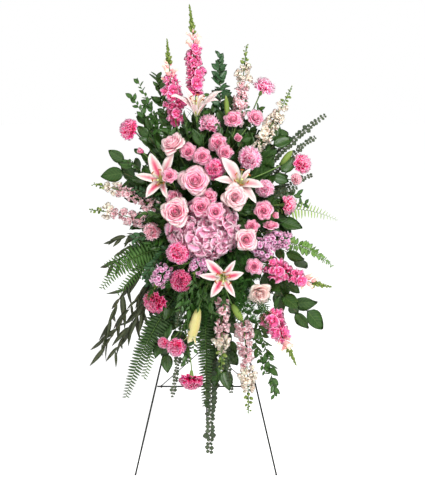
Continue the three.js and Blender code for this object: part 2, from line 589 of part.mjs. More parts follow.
function buildFoliage() {
  const fronds = (name, colour, root, points, ...shape) => addPiece(name,
    fuse([...rooted(root, [between(points[0], points[1], 0.05)], twigRadius), frond(points, ...shape)]),
    palette[colour]);
  fronds('fern_left', 'fern', onSide(-1, 40, 785),
    [at(-120, 62, 765), at(-240, 75, 740), at(-300, 60, 690), at(-345, 45, 625)], 26, 14);
  fronds('fern_low_left', 'fern', onBottom(-40, 40),
    [at(-95, 62, 610), at(-160, 75, 520), at(-225, 70, 400), at(-265, 45, 265)], 28, 15);
  fronds('fern_centre', 'fern', onBottom(0, 40),
    [at(0, 60, 600), at(0, 75, 480), at(0, 75, 340), at(0, 55, 235)], 29, 15);
  fronds('fern_right', 'limeFern', onSide(1, 40, 868),
    [at(200, 58, 885), at(290, 68, 895), at(370, 60, 885), at(440, 35, 852)], 32, 12);
  fronds('fern_low_right', 'fern', onSide(1, 40, 805),
    [at(260, 58, 775), at(320, 62, 770), at(370, 55, 745), at(420, 35, 700)], 24, 9);
  fronds('myrtle_top', 'myrtle', onTop(10, 42),
    [at(50, 58, 1180), at(50, 60, 1260), at(46, 60, 1330), at(45, 55, 1405)], 26, 9, 'pointed', 0.5);
  fronds('myrtle_left', 'myrtle', onTop(-38, 40),
    [at(-105, 50, 1120), at(-140, 52, 1200), at(-155, 50, 1270), at(-165, 45, 1335)], 30, 7, 'pointed', 0.5);
  fronds('huckleberry_low', 'myrtle', onBottom(30, 42),
    [at(150, 66, 560), at(190, 68, 470), at(215, 66, 380), at(225, 60, 275)], 27, 9, 'pointed', 0.5);
  fronds('eucalyptus_right', 'eucalyptus', onSide(1, 32, 905),
    [at(205, 38, 1040), at(270, 42, 1100), at(335, 42, 1160), at(400, 38, 1205)], 21, 9, 'round');
  fronds('eucalyptus_low', 'eucalyptus', onBottom(14, 32),
    [at(16, 42, 400), at(18, 48, 300), at(14, 48, 190), at(12, 45, 85)], 19, 9, 'round');
  fronds('willow_eucalyptus', 'willow', onSide(-1, 32, 748),
    [at(-150, 38, 730), at(-250, 45, 680), at(-310, 42, 580), at(-345, 35, 440)], 78, 8, 'long', 0.5);

  fronds('salal_left', 'salal', onSide(-1, 42, 912),
    [at(-95, 46, 965), at(-130, 52, 1030), at(-165, 52, 1090), at(-195, 45, 1170)], 62, 3, 'oval', 0.5);
  fronds('salal_far_left', 'salal', onSide(-1, 42, 885),
    [at(-120, 46, 925), at(-170, 50, 960), at(-220, 50, 985), at(-275, 42, 1010)], 58, 3, 'oval', 0.5);
  fronds('salal_upper_right', 'salal', onSide(1, 42, 930),
    [at(115, 48, 1015), at(160, 54, 1060), at(200, 54, 1095), at(245, 45, 1140)], 60, 3, 'oval', 0.5);
  fronds('salal_low_right', 'salal', onBottom(48, 42),
    [at(190, 50, 620), at(240, 52, 600), at(285, 50, 580), at(335, 45, 550)], 60, 3, 'oval', 0.5);
  fronds('salal_low', 'salal', onBottom(-16, 42),
    [at(-70, 40, 560), at(-90, 44, 520), at(-110, 44, 470), at(-130, 36, 405)], 55, 2, 'oval', 0.5);
}

buildEasel();
buildRoses();
buildLilies();
buildCarnations();
buildSprayRoses();
buildHydrangea();
buildSpikes();
buildFoliage();
addPiece('floral_foam', foamBlock(), palette.foam, 0.9);

// The origin is under the middle of the whole object, on the floor.
const group = new THREE.Group();
group.add(spray);
group.updateMatrixWorld(true);
const extent = new THREE.Box3().setFromObject(group, true);
spray.position.set(-(extent.min.x + extent.max.x) / 2, -(extent.min.y + extent.max.y) / 2, 0);

export default group;
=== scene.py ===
# Looks of a standing funeral spray on a folding wire easel.
import math

import bpy
import numpy as np
from mathutils import Matrix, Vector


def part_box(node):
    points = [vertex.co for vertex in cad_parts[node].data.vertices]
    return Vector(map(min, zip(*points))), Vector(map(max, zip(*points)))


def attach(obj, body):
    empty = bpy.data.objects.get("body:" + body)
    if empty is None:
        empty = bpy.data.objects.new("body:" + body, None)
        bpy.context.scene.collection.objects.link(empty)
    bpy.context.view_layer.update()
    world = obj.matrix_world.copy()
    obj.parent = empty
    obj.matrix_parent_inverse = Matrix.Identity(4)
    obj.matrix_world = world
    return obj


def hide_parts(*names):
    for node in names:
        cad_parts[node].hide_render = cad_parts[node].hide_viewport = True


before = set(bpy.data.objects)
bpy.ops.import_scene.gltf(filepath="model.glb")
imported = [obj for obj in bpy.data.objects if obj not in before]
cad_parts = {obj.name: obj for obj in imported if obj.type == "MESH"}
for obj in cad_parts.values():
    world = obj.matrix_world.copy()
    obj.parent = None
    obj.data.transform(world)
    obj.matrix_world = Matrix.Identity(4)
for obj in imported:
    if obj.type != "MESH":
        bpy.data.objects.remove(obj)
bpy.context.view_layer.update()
draws = np.random.default_rng(11)
fullTurn = 2 * math.pi
goldenTurn = 2.39996
fifthTurn = 1.257
print("frame loaded")

# Places: across, out in front of the easel's leaning frame and up along it, in millimetres.
leanBack = math.radians(12)
crossBarUp = 0.295
leftLegBox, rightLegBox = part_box("front_leg_left"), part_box("front_leg_right")
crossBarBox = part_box("cross_bar")
shift = np.array([(leftLegBox[0][0] + rightLegBox[1][0]) / 2,
                  (crossBarBox[0][1] + crossBarBox[1][1]) / 2 - crossBarUp * math.sin(leanBack), 0.0])
foam = {"half": 55, "front": 85.8, "bottom": 720, "top": 950}


def tilted(across, out, up):
    return np.array([across, -out * math.cos(leanBack) + up * math.sin(leanBack),
                     out * math.sin(leanBack) + up * math.cos(leanBack)])


def at(across, out, up):
    return tilted(across, out, up) / 1000 + shift


def unit(way):
    return np.asarray(way, float) / np.linalg.norm(way)


def facing(across, out, up):
    return unit(tilted(across, out, up))


def onFront(across, up):
    return (across, foam["front"], up)


def onTop(across, out):
    return (across, out, foam["top"])


def onBottom(across, out):
    return (across, out, foam["bottom"])


def onSide(side, out, up):
    return (side * foam["half"], out, up)


# Mesh pieces as arrays: points, four- and three-cornered faces, a map across and along.

def basis(way, spin=0.0):
    zAxis = unit(way)
    xAxis = unit(np.cross((0, 0, 1) if abs(zAxis[2]) < 0.95 else (0, 1, 0), zAxis))
    yAxis = np.cross(zAxis, xAxis)
    cosine, sine = math.cos(spin), math.sin(spin)
    return np.column_stack([xAxis * cosine + yAxis * sine, yAxis * cosine - xAxis * sine, zAxis])


def gridFaces(index):
    return [index[:-1, :-1].ravel(), index[:-1, 1:].ravel(), index[1:, 1:].ravel(), index[1:, :-1].ravel()]


# A thin closed petal or leaf: two faces that meet along its edge.
def sheet(acrossCount, alongCount, shape, thickness):
    u, v = np.meshgrid(np.linspace(-1, 1, acrossCount), np.linspace(0, 1, alongCount))
    points = np.stack(np.broadcast_arrays(*shape(u, v)), axis=-1)
    normal = np.cross(np.gradient(points, axis=1), np.gradient(points, axis=0))
    normal /= np.maximum(np.linalg.norm(normal, axis=-1, keepdims=True), 1e-12)
    inside = (slice(1, -1), slice(1, -1))
    upper, lower = points.copy(), points.copy()
    upper[inside] += normal[inside] * thickness / 2
    lower[inside] -= normal[inside] * thickness / 2
    first = np.arange(u.size).reshape(u.shape)
    second = first.copy()
    second[inside] = u.size + np.arange((alongCount - 2) * (acrossCount - 2)).reshape(alongCount - 2, -1)
    chart = np.stack([u / 2 + 0.5, v], axis=-1)
    return {"points": np.concatenate([upper.reshape(-1, 3), lower[inside].reshape(-1, 3)]),
            "quads": np.concatenate([np.stack(gridFaces(first), 1), np.stack(gridFaces(second)[::-1], 1)]),
            "tris": np.zeros((0, 3), int),
            "chart": np.concatenate([chart.reshape(-1, 2), chart[inside].reshape(-1, 2)])}


# A closed round body along a path, with a radius at each point.
def tube(path, radii, sides=6):
    path = np.asarray(path, float)
    ways = np.gradient(path, axis=0)
    ways /= np.linalg.norm(ways, axis=1, keepdims=True)
    side = basis(ways[0])[:, 0]
    turns = np.arange(sides) * fullTurn / sides
    rings = []
    for place, way, radius in zip(path, ways, np.broadcast_to(radii, len(path))):
        side = unit(side - way * side.dot(way))
        rings.append(place + radius * (np.outer(np.cos(turns), side)
                                       + np.outer(np.sin(turns), np.cross(way, side))))
    count = len(path)
    index = np.arange(count * sides).reshape(count, sides)
    ahead = np.roll(index, -1, axis=1)
    quads = np.stack([index[:-1].ravel(), ahead[:-1].ravel(), ahead[1:].ravel(), index[1:].ravel()], 1)
    first = np.full(sides, count * sides)
    tris = np.concatenate([np.stack([ahead[0], index[0], first], 1),
                           np.stack([index[-1], ahead[-1], first + 1], 1)])
    chart = np.stack(np.meshgrid(np.arange(sides) / sides, np.linspace(0, 1, count)), -1).reshape(-1, 2)
    return {"points": np.concatenate(rings + [path[:1], path[-1:]]), "quads": quads, "tris": tris,
            "chart": np.concatenate([chart, [[0.5, 0], [0.5, 1]]])}


# A round body about +Z from pairs of radius and height.
def turned(profile, sides=8):
    return tube([(0, 0, up) for _, up in profile], [radius for radius, _ in profile], sides)


def bent(points, count):
    a, b, c, d = [np.asarray(point, float) for point in points]
    t = np.linspace(0, 1, count)[:, None]
    return (1 - t) ** 3 * a + 3 * (1 - t) ** 2 * t * b + 3 * (1 - t) * t ** 2 * c + t ** 3 * d


# Puts a piece into a pile: turned, scaled and moved, with its material and two shade values.
def add(pile, piece, material, place=(0, 0, 0), turn=None, scale=1.0, tone=0.5, vary=None):
    points = piece["points"] * scale
    if turn is not None:
        points = points @ turn.T
    vary = draws.random() if vary is None else vary
    pile.append(dict(piece, points=points + np.asarray(place), material=material,
                     tone=np.full(len(points), tone), vary=np.full(len(points), vary)))


def linked(name, data):
    thing = bpy.data.objects.new(name, data)
    bpy.context.scene.collection.objects.link(thing)
    return thing


def makeObject(name, pile):
    offsets = np.cumsum([0] + [len(part["points"]) for part in pile])
    materials = list(dict.fromkeys(part["material"] for part in pile))
    values = {key: np.concatenate([part[key] for part in pile])
              for key in ("points", "chart", "tone", "vary")}
    faces, slots = [], []
    for kind in ("quads", "tris"):
        for part, offset in zip(pile, offsets):
            faces += (part[kind] + offset).tolist()
            slots += [materials.index(part["material"])] * len(part[kind])
    mesh = bpy.data.meshes.new(name)
    mesh.from_pydata(values["points"].tolist(), [], faces)
    for material in materials:
        mesh.materials.append(bpy.data.materials[material])
    mesh.polygons.foreach_set("material_index", np.array(slots, np.int32))
    mesh.polygons.foreach_set("use_smooth", np.ones(len(slots), bool))
    corner = np.zeros(len(mesh.loops), np.int32)
    mesh.loops.foreach_get("vertex_index", corner)
    chart = values["chart"][corner].ravel().astype(np.float32)
    mesh.uv_layers.new(name="petalMap").data.foreach_set("uv", chart)
    for title in ("tone", "vary"):
        shade = mesh.attributes.new(title, "FLOAT", "POINT")
        shade.data.foreach_set("value", values[title].astype(np.float32))
    mesh.validate()
    return linked(name, mesh)


def joined(name, things):
    with bpy.context.temp_override(active_object=things[0], selected_editable_objects=things):
        bpy.ops.object.join()
    things[0].name = things[0].data.name = name
    return things[0]


def stand(thing, *nodes, slot):
    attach(thing, "spray")
    if nodes:
        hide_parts(*nodes)


# Node trees. A wire is an output of a node, and a sum on it adds the nodes that it needs.

class Wire:
    def __init__(self, socket):
        self.socket = socket

    def __add__(self, other):
        return maths("ADD", self, other)

    def __sub__(self, other):
        return maths("SUBTRACT", self, other)

    def __rsub__(self, other):
        return maths("SUBTRACT", other, self)

    def __mul__(self, other):
        return maths("MULTIPLY", self, other)

    def __pow__(self, other):
        return maths("POWER", self, other)


def setInputs(made, values):
    for key, value in values.items():
        if isinstance(value, Wire):
            made.id_data.links.new(value.socket, made.inputs[key])
        else:
            made.inputs[key].default_value = value
    return made


def node(tree, kind, values=None, **settings):
    made = tree.nodes.new(kind)
    for key, value in settings.items():
        setattr(made, key, value)
    return setInputs(made, values or {})


def wire(tree, kind, values=None, pick=0, **settings):
    return Wire(node(tree, kind, values, **settings).outputs[pick])


def treeOf(values):
    return next(value.socket.id_data for value in values if isinstance(value, Wire))


def maths(operation, *values, clamp=False):
    return wire(treeOf(values), "ShaderNodeMath", dict(enumerate(values)), operation=operation,
                use_clamp=clamp)


def vectors(operation, *values):
    keys = (0, "Scale") if operation == "SCALE" else (0, 1)
    return wire(treeOf(values), "ShaderNodeVectorMath", dict(zip(keys, values)), operation=operation)


def kindOf(value):
    if isinstance(value, str):
        return value
    if isinstance(value, tuple):
        return "Color" if len(value) == 4 else "Vector"
    return "Int" if isinstance(value, int) else "Float"


# A node group. Each input is given by its usual value, or by its kind where it has none.
def groupOf(name, kind, inputs, outputs):
    tree = bpy.data.node_groups.new(name, kind)
    for way, titles in (("INPUT", inputs), ("OUTPUT", outputs)):
        for title, value in titles.items():
            socket = tree.interface.new_socket(title, in_out=way, socket_type="NodeSocket" + kindOf(value))
            if not isinstance(value, str):
                socket.default_value = value
    given = {socket.name: Wire(socket) for socket in tree.nodes.new("NodeGroupInput").outputs if socket.name}
    return tree, given, tree.nodes.new("NodeGroupOutput")


# Materials

plainWhite, plainGreen = (1, 1, 1, 1), (0, 0.2, 0, 1)
veinTurn = 6.283


# A colour as the eye reads it on a screen, each part from 0 to 255.
def tint(red, green, blue):
    return tuple(((c / 255 + 0.055) / 1.055) ** 2.4 if c > 10 else c / 255 / 12.92
                 for c in (red, green, blue)) + (1.0,)


def shadeGroup(name, inputs):
    return groupOf(name, "ShaderNodeTree", inputs, {"Colour": "Color", "Height": "Float"})


def blended(share, first, second):
    return wire(treeOf([share]), "ShaderNodeMix", {0: share, 6: first, 7: second}, 2, data_type="RGBA")


def ramped(value, low, high):
    return wire(treeOf([value]), "ShaderNodeMapRange", {"Value": value, "From Min": low, "From Max": high},
                interpolation_type="SMOOTHSTEP")


def fading(value, low, high):
    return 1.0 - ramped(value, low, high)


def chartOf(tree):
    chart = node(tree, "ShaderNodeSeparateXYZ", {0: wire(tree, "ShaderNodeUVMap", uv_map="petalMap")})
    return Wire(chart.outputs[0]), Wire(chart.outputs[1])


def asideOf(across):
    return maths("ABSOLUTE", across * 2.0 - 1.0)


def valueOf(tree, title):
    return wire(tree, "ShaderNodeAttribute", None, "Fac", attribute_name=title)


def grainOf(tree, scale, detail=3.0):
    place = wire(tree, "ShaderNodeTexCoord", None, "Object")
    return wire(tree, "ShaderNodeTexNoise", {"Vector": place, "Scale": scale, "Detail": detail})


# Petal colour: heart to body to edge along it, deeper in the bloom's middle, with fine veins.
def petalShadeGroup():
    tree, given, finished = shadeGroup("petalShade", {
        "Heart": plainWhite, "Body": plainWhite, "Edge": plainWhite, "Heart End": 0.4, "Edge Start": 0.7,
        "Depth": 0.4, "Variation": 0.2, "Vein Count": 9.0, "Vein Strength": 0.15})
    across, along = chartOf(tree)
    whole = blended(ramped(along, 0.0, given["Heart End"]), given["Heart"], given["Body"])
    whole = blended(ramped(along, given["Edge Start"], 1.0), whole, given["Edge"])
    whole = blended((1.0 - valueOf(tree, "tone")) * given["Depth"], whole, given["Heart"])
    uneven = (valueOf(tree, "vary") - 0.5) * given["Variation"]
    mottle = (grainOf(tree, 160.0) - 0.5) * given["Variation"]
    whole = wire(tree, "ShaderNodeHueSaturation", {"Value": uneven + mottle + 1.0, "Color": whole})
    wave = maths("SINE", across * (given["Vein Count"] * veinTurn) + grainOf(tree, 220.0) * 2.5)
    ridge = (wave * 0.5 + 0.5) ** 3.0
    darker = wire(tree, "ShaderNodeHueSaturation", {"Saturation": 1.25, "Value": 0.85, "Color": whole})
    setInputs(finished, {"Colour": blended(ridge * given["Vein Strength"], whole, darker), "Height": ridge})
    return tree


# Leaf colour: dark to light, with a paler rib and side veins that slant to the tip.
def leafShadeGroup():
    tree, given, finished = shadeGroup("leafShade", {
        "Dark": plainGreen, "Light": plainGreen, "Rib": plainGreen, "Rib Width": 0.08, "Side Veins": 7.0,
        "Vein Strength": 0.3})
    across, along = chartOf(tree)
    aside = asideOf(across)
    wave = maths("SINE", (along - aside * 0.28) * (given["Side Veins"] * veinTurn))
    lines = maths("MAXIMUM", fading(aside, 0.0, given["Rib Width"]), (wave * 0.5 + 0.5) ** 12.0 * 0.5)
    patch = grainOf(tree, 60.0) * 0.7 - 0.1
    share = maths("ADD", valueOf(tree, "vary") * 0.7, patch, clamp=True)
    whole = blended(share, given["Dark"], given["Light"])
    whole = blended(lines * given["Vein Strength"], whole, given["Rib"])
    setInputs(finished, {"Colour": whole, "Height": 1.0 - lines})
    return tree


# Lily colour: white edges, a pink band along the rib, dark spots and a green throat.
def lilyShadeGroup():
    tree, given, finished = shadeGroup("lilyShade", {
        "White": plainWhite, "Pink": plainWhite, "Spot": plainWhite, "Throat": plainGreen, "Band": 0.6,
        "Strength": 0.9})
    across, along = chartOf(tree)
    aside = asideOf(across)
    band = fading(aside + (grainOf(tree, 90.0) * 0.3 - 0.15), 0.02, given["Band"])
    strength = valueOf(tree, "tone") * given["Strength"]
    whole = blended(band * fading(along, 0.48, 1.06) * strength, given["White"], given["Pink"])
    place = wire(tree, "ShaderNodeTexCoord", None, "Object")
    cells = wire(tree, "ShaderNodeTexVoronoi", {"Vector": place, "Scale": 240.0}, "Distance")
    spots = fading(cells, 0.12, 0.26) * fading(along, 0.3, 0.62) * (strength * fading(aside, 0.5, 0.9))
    whole = blended(spots, whole, given["Spot"])
    whole = blended(fading(along + aside * 0.2, 0.12, 0.3), whole, given["Throat"])
    setInputs(finished, {"Colour": whole, "Height": ramped(aside, 0.0, 0.12)})
    return tree


# Fine grain for stems, paint, plastic and foam.
def grainGroup():
    tree, given, finished = shadeGroup("fineGrain", {"Dark": plainGreen, "Light": plainGreen, "Scale": 200.0})
    noise = grainOf(tree, given["Scale"], 4.0)
    share = maths("ADD", ramped(noise, 0.3, 0.7), valueOf(tree, "vary") * 0.5 - 0.25, clamp=True)
    setInputs(finished, {"Colour": blended(share, given["Dark"], given["Light"]), "Height": noise})
    return tree


shades = {"petal": petalShadeGroup(), "leaf": leafShadeGroup(), "lily": lilyShadeGroup(),
          "grain": grainGroup()}


def finish(name, shade, values, rough, bump, shine, scatter=0.0, coat=0.0):
    material = bpy.data.materials.new(name)
    material.use_nodes = True
    tree = material.node_tree
    group = node(tree, "ShaderNodeGroup", values, node_tree=shades[shade])
    relief = wire(tree, "ShaderNodeBump", {"Height": Wire(group.outputs["Height"]), "Strength": bump,
                                           "Distance": 0.0004})
    setInputs(tree.nodes["Principled BSDF"], {
        "Base Color": Wire(group.outputs["Colour"]), "Normal": relief, "Roughness": rough,
        "Specular IOR Level": shine, "Subsurface Weight": scatter, "Subsurface Radius": (1.0, 0.6, 0.7),
        "Subsurface Scale": 0.008, "Coat Weight": coat, "Coat Roughness": 0.25})


def petals(name, heart, body, edge, heartEnd, edgeStart, depth, variation, veins=9, veinStrength=0.3,
           rough=0.55, scatter=0.6):
    finish(name, "petal", {
        "Heart": tint(*heart), "Body": tint(*body), "Edge": tint(*edge), "Heart End": heartEnd,
        "Edge Start": edgeStart, "Depth": depth, "Variation": variation, "Vein Count": veins,
        "Vein Strength": veinStrength}, rough, 0.35, 0.15, scatter)


def leaves(name, dark, light, rib, ribWidth, sideVeins, veinStrength, rough, coat=0.0):
    finish(name, "leaf", {
        "Dark": tint(*dark), "Light": tint(*light), "Rib": tint(*rib), "Rib Width": ribWidth,
        "Side Veins": sideVeins, "Vein Strength": veinStrength}, rough, 0.5, 0.25, 0.05, coat)


def grain(name, dark, light, scale, rough, bump, shine=0.35):
    finish(name, "grain", {"Dark": tint(*dark), "Light": tint(*light), "Scale": scale}, rough, bump, shine)


# Each: heart, body and edge, the heart's end, the edge's start, depth, variation, veins, their strength,
# roughness and scatter.
petalSkins = {
    "rosePetals": [(255, 116, 172), (240, 148, 174), (242, 206, 206), 0.5, 0.76, 0.8, 0.14, 7, 0.16],
    "edgedRosePetals": [(246, 88, 148), (236, 140, 166), (248, 224, 218), 0.5, 0.72, 0.85, 0.16, 7, 0.16],
    "paleRosePetals": [(252, 140, 180), (242, 184, 192), (246, 220, 212), 0.55, 0.76, 0.7, 0.12, 7, 0.12],
    "creamRosePetals": [(228, 132, 142), (234, 190, 180), (240, 214, 202), 0.6, 0.7, 0.5, 0.2],
    "sprayRosePetals": [(244, 74, 136), (238, 104, 148), (255, 194, 212), 0.6, 0.74, 0.65, 0.2, 6, 0.24],
    "carnationPetals": [(255, 106, 162), (255, 144, 186), (255, 206, 224), 0.6, 0.82, 0.15, 0.16],
    "pinkCarnationPetals": [(244, 44, 112), (255, 96, 152), (255, 190, 212), 0.6, 0.84, 0.2, 0.2],
    "hotCarnationPetals": [(236, 34, 102), (255, 72, 138), (255, 160, 200), 0.6, 0.82, 0.2, 0.22],
    "deepCarnationPetals": [(164, 10, 58), (208, 30, 88), (246, 104, 154), 0.6, 0.84, 0.25, 0.28],
    "salmonCarnationPetals": [(240, 100, 130), (250, 150, 172), (255, 204, 212), 0.6, 0.78, 0.25, 0.2],
    "hydrangeaSepals": [(200, 86, 132), (224, 144, 172), (248, 206, 218), 0.35, 0.62, 0.25, 0.45],
    "stockPetals": [(190, 76, 140), (230, 146, 192), (252, 216, 234), 0.3, 0.64, 0.05, 0.34],
    "snapdragonPetals": [(226, 44, 108), (246, 104, 156), (255, 178, 204), 0.45, 0.66, 0.35, 0.35],
    "snapdragonPaleFlowers": [(236, 130, 150), (248, 186, 180), (250, 226, 200), 0.5, 0.6, 0.3, 0.2],
    "larkspurPetals": [(214, 92, 122), (254, 186, 196), (255, 230, 226), 0.34, 0.62, 0.1, 0.34],
    "larkspurCreamPetals": [(206, 190, 122), (252, 226, 206), (254, 240, 222), 0.3, 0.6, 0.05, 0.2],
    "greenBuds": [(62, 84, 30), (106, 126, 58), (150, 162, 96), 0.5, 0.7, 0.2, 0.4, 5, 0.3, 0.5, 0.1],
    "creamBud": [(128, 140, 66), (184, 176, 122), (206, 196, 152), 0.35, 0.6, 0.1, 0.14, 3, 0.5],
}
# Each: dark and light, the grain's scale, roughness, bump and shine.
grainSkins = {
    "anthers": [(120, 54, 18), (176, 92, 36), 900.0, 0.8, 0.6],
    "filaments": [(176, 186, 110), (214, 214, 150), 300.0, 0.5, 0.2],
    "greenStems": [(60, 92, 36), (104, 134, 62), 260.0, 0.5, 0.3],
    "calyxes": [(76, 108, 46), (126, 152, 78), 320.0, 0.55, 0.4],
    "twigs": [(66, 70, 40), (104, 92, 60), 300.0, 0.65, 0.5],
    "wirePaint": [(1, 2, 2), (6, 8, 7), 700.0, 0.5, 0.25, 0.15],
    "cagePlastic": [(30, 66, 40), (46, 88, 56), 420.0, 0.5, 0.2],
    "tiePlastic": [(18, 20, 18), (40, 42, 40), 500.0, 0.5, 0.2],
    "wetFoam": [(30, 62, 34), (62, 98, 54), 1400.0, 0.85, 0.8],
}
# Each: dark, light and rib, the rib's width, side veins, their strength, roughness and coat.
leafSkins = {
    "swordFernLeaflets": [(20, 46, 12), (60, 100, 34), (112, 142, 72), 0.16, 9, 0.3, 0.5],
    # The sword fern's leaflets again in darker greens: painted shade for the fronds that hang below the
    # blooms.
    "centreFernLeaflets": [(12, 32, 9), (38, 66, 22), (84, 108, 54), 0.16, 9, 0.3, 0.5],
    "limeFernLeaflets": [(92, 128, 50), (150, 178, 92), (184, 200, 124), 0.2, 7, 0.4, 0.55],
    "salalLeaves": [(12, 34, 10), (46, 80, 26), (100, 128, 66), 0.05, 7, 0.4, 0.42, 0.06],
    "myrtleLeaves": [(14, 40, 20), (48, 86, 48), (104, 136, 90), 0.12, 5, 0.3, 0.38, 0.08],
    "glossyLeaves": [(16, 42, 10), (50, 90, 30), (108, 140, 68), 0.1, 6, 0.3, 0.35, 0.1],
    "brightLeaves": [(46, 84, 26), (108, 148, 64), (150, 178, 104), 0.12, 5, 0.3, 0.4, 0.06],
    "eucalyptusLeaves": [(28, 42, 28), (70, 86, 60), (110, 122, 92), 0.1, 4, 0.25, 0.6],
    "willowEucalyptusLeaves": [(22, 30, 18), (56, 64, 40), (98, 102, 70), 0.14, 10, 0.3, 0.5],
    "plumosusNeedles": [(16, 50, 10), (46, 94, 26), (76, 124, 44), 0.3, 2, 0.2, 0.6],
}
for skins, maker in ((petalSkins, petals), (grainSkins, grain), (leafSkins, leaves)):
    for name, row in skins.items():
        maker(name, *row)
finish("lilyTepals", "lily", {
    "White": tint(220, 200, 195), "Pink": tint(198, 40, 86), "Spot": tint(150, 28, 66),
    "Throat": tint(150, 168, 70), "Band": 0.82, "Strength": 1.0}, 0.45, 0.6, 0.2, 0.6)
print("materials made")


# Geometry Nodes: one tree grows leaves, florets or buds along stems, one covers a dome.

def growthGroup(name, inputs):
    return groupOf(name, "GeometryNodeTree", dict({"Geometry": "Geometry"}, **inputs),
                   {"Geometry": "Geometry"})


def drawn(low, high, seed, salt):
    return wire(treeOf([seed]), "FunctionNodeRandomValue", {"Seed": seed + float(salt), 2: low, 3: high}, 1,
                data_type="FLOAT")


def uneven(given, reach, salt):
    return drawn(-reach, reach, given["Seed"], salt) * given["Uneven"]


def swung(first, second, angle):
    return vectors("ADD", vectors("SCALE", first, maths("COSINE", angle)),
                   vectors("SCALE", second, maths("SINE", angle)))


def spun(tree, pose, angles):
    spin = wire(tree, "FunctionNodeEulerToRotation", {0: wire(tree, "ShaderNodeCombineXYZ", angles)})
    return wire(tree, "FunctionNodeRotateRotation", {0: pose, 1: spin}, rotation_space="LOCAL")


# Puts a copy of a pattern on each point and makes it real, with a shade value of its own.
def grownCopies(tree, given, points, patternKey, pose, size, salt):
    leaf = wire(tree, "GeometryNodeObjectInfo", {"Object": given[patternKey]}, "Geometry")
    placed = wire(tree, "GeometryNodeInstanceOnPoints", {"Points": points, "Instance": leaf, "Rotation": pose,
                                                         "Scale": size})
    placed = wire(tree, "GeometryNodeStoreNamedAttribute", {
        "Geometry": placed, "Name": "vary", "Value": drawn(0.0, 1.0, given["Seed"], salt)},
        data_type="FLOAT", domain="INSTANCE")
    grown = wire(tree, "GeometryNodeRealizeInstances", {"Geometry": placed})
    material = given[patternKey + " Material"]
    return wire(tree, "GeometryNodeSetMaterial", {"Geometry": grown, "Material": material})


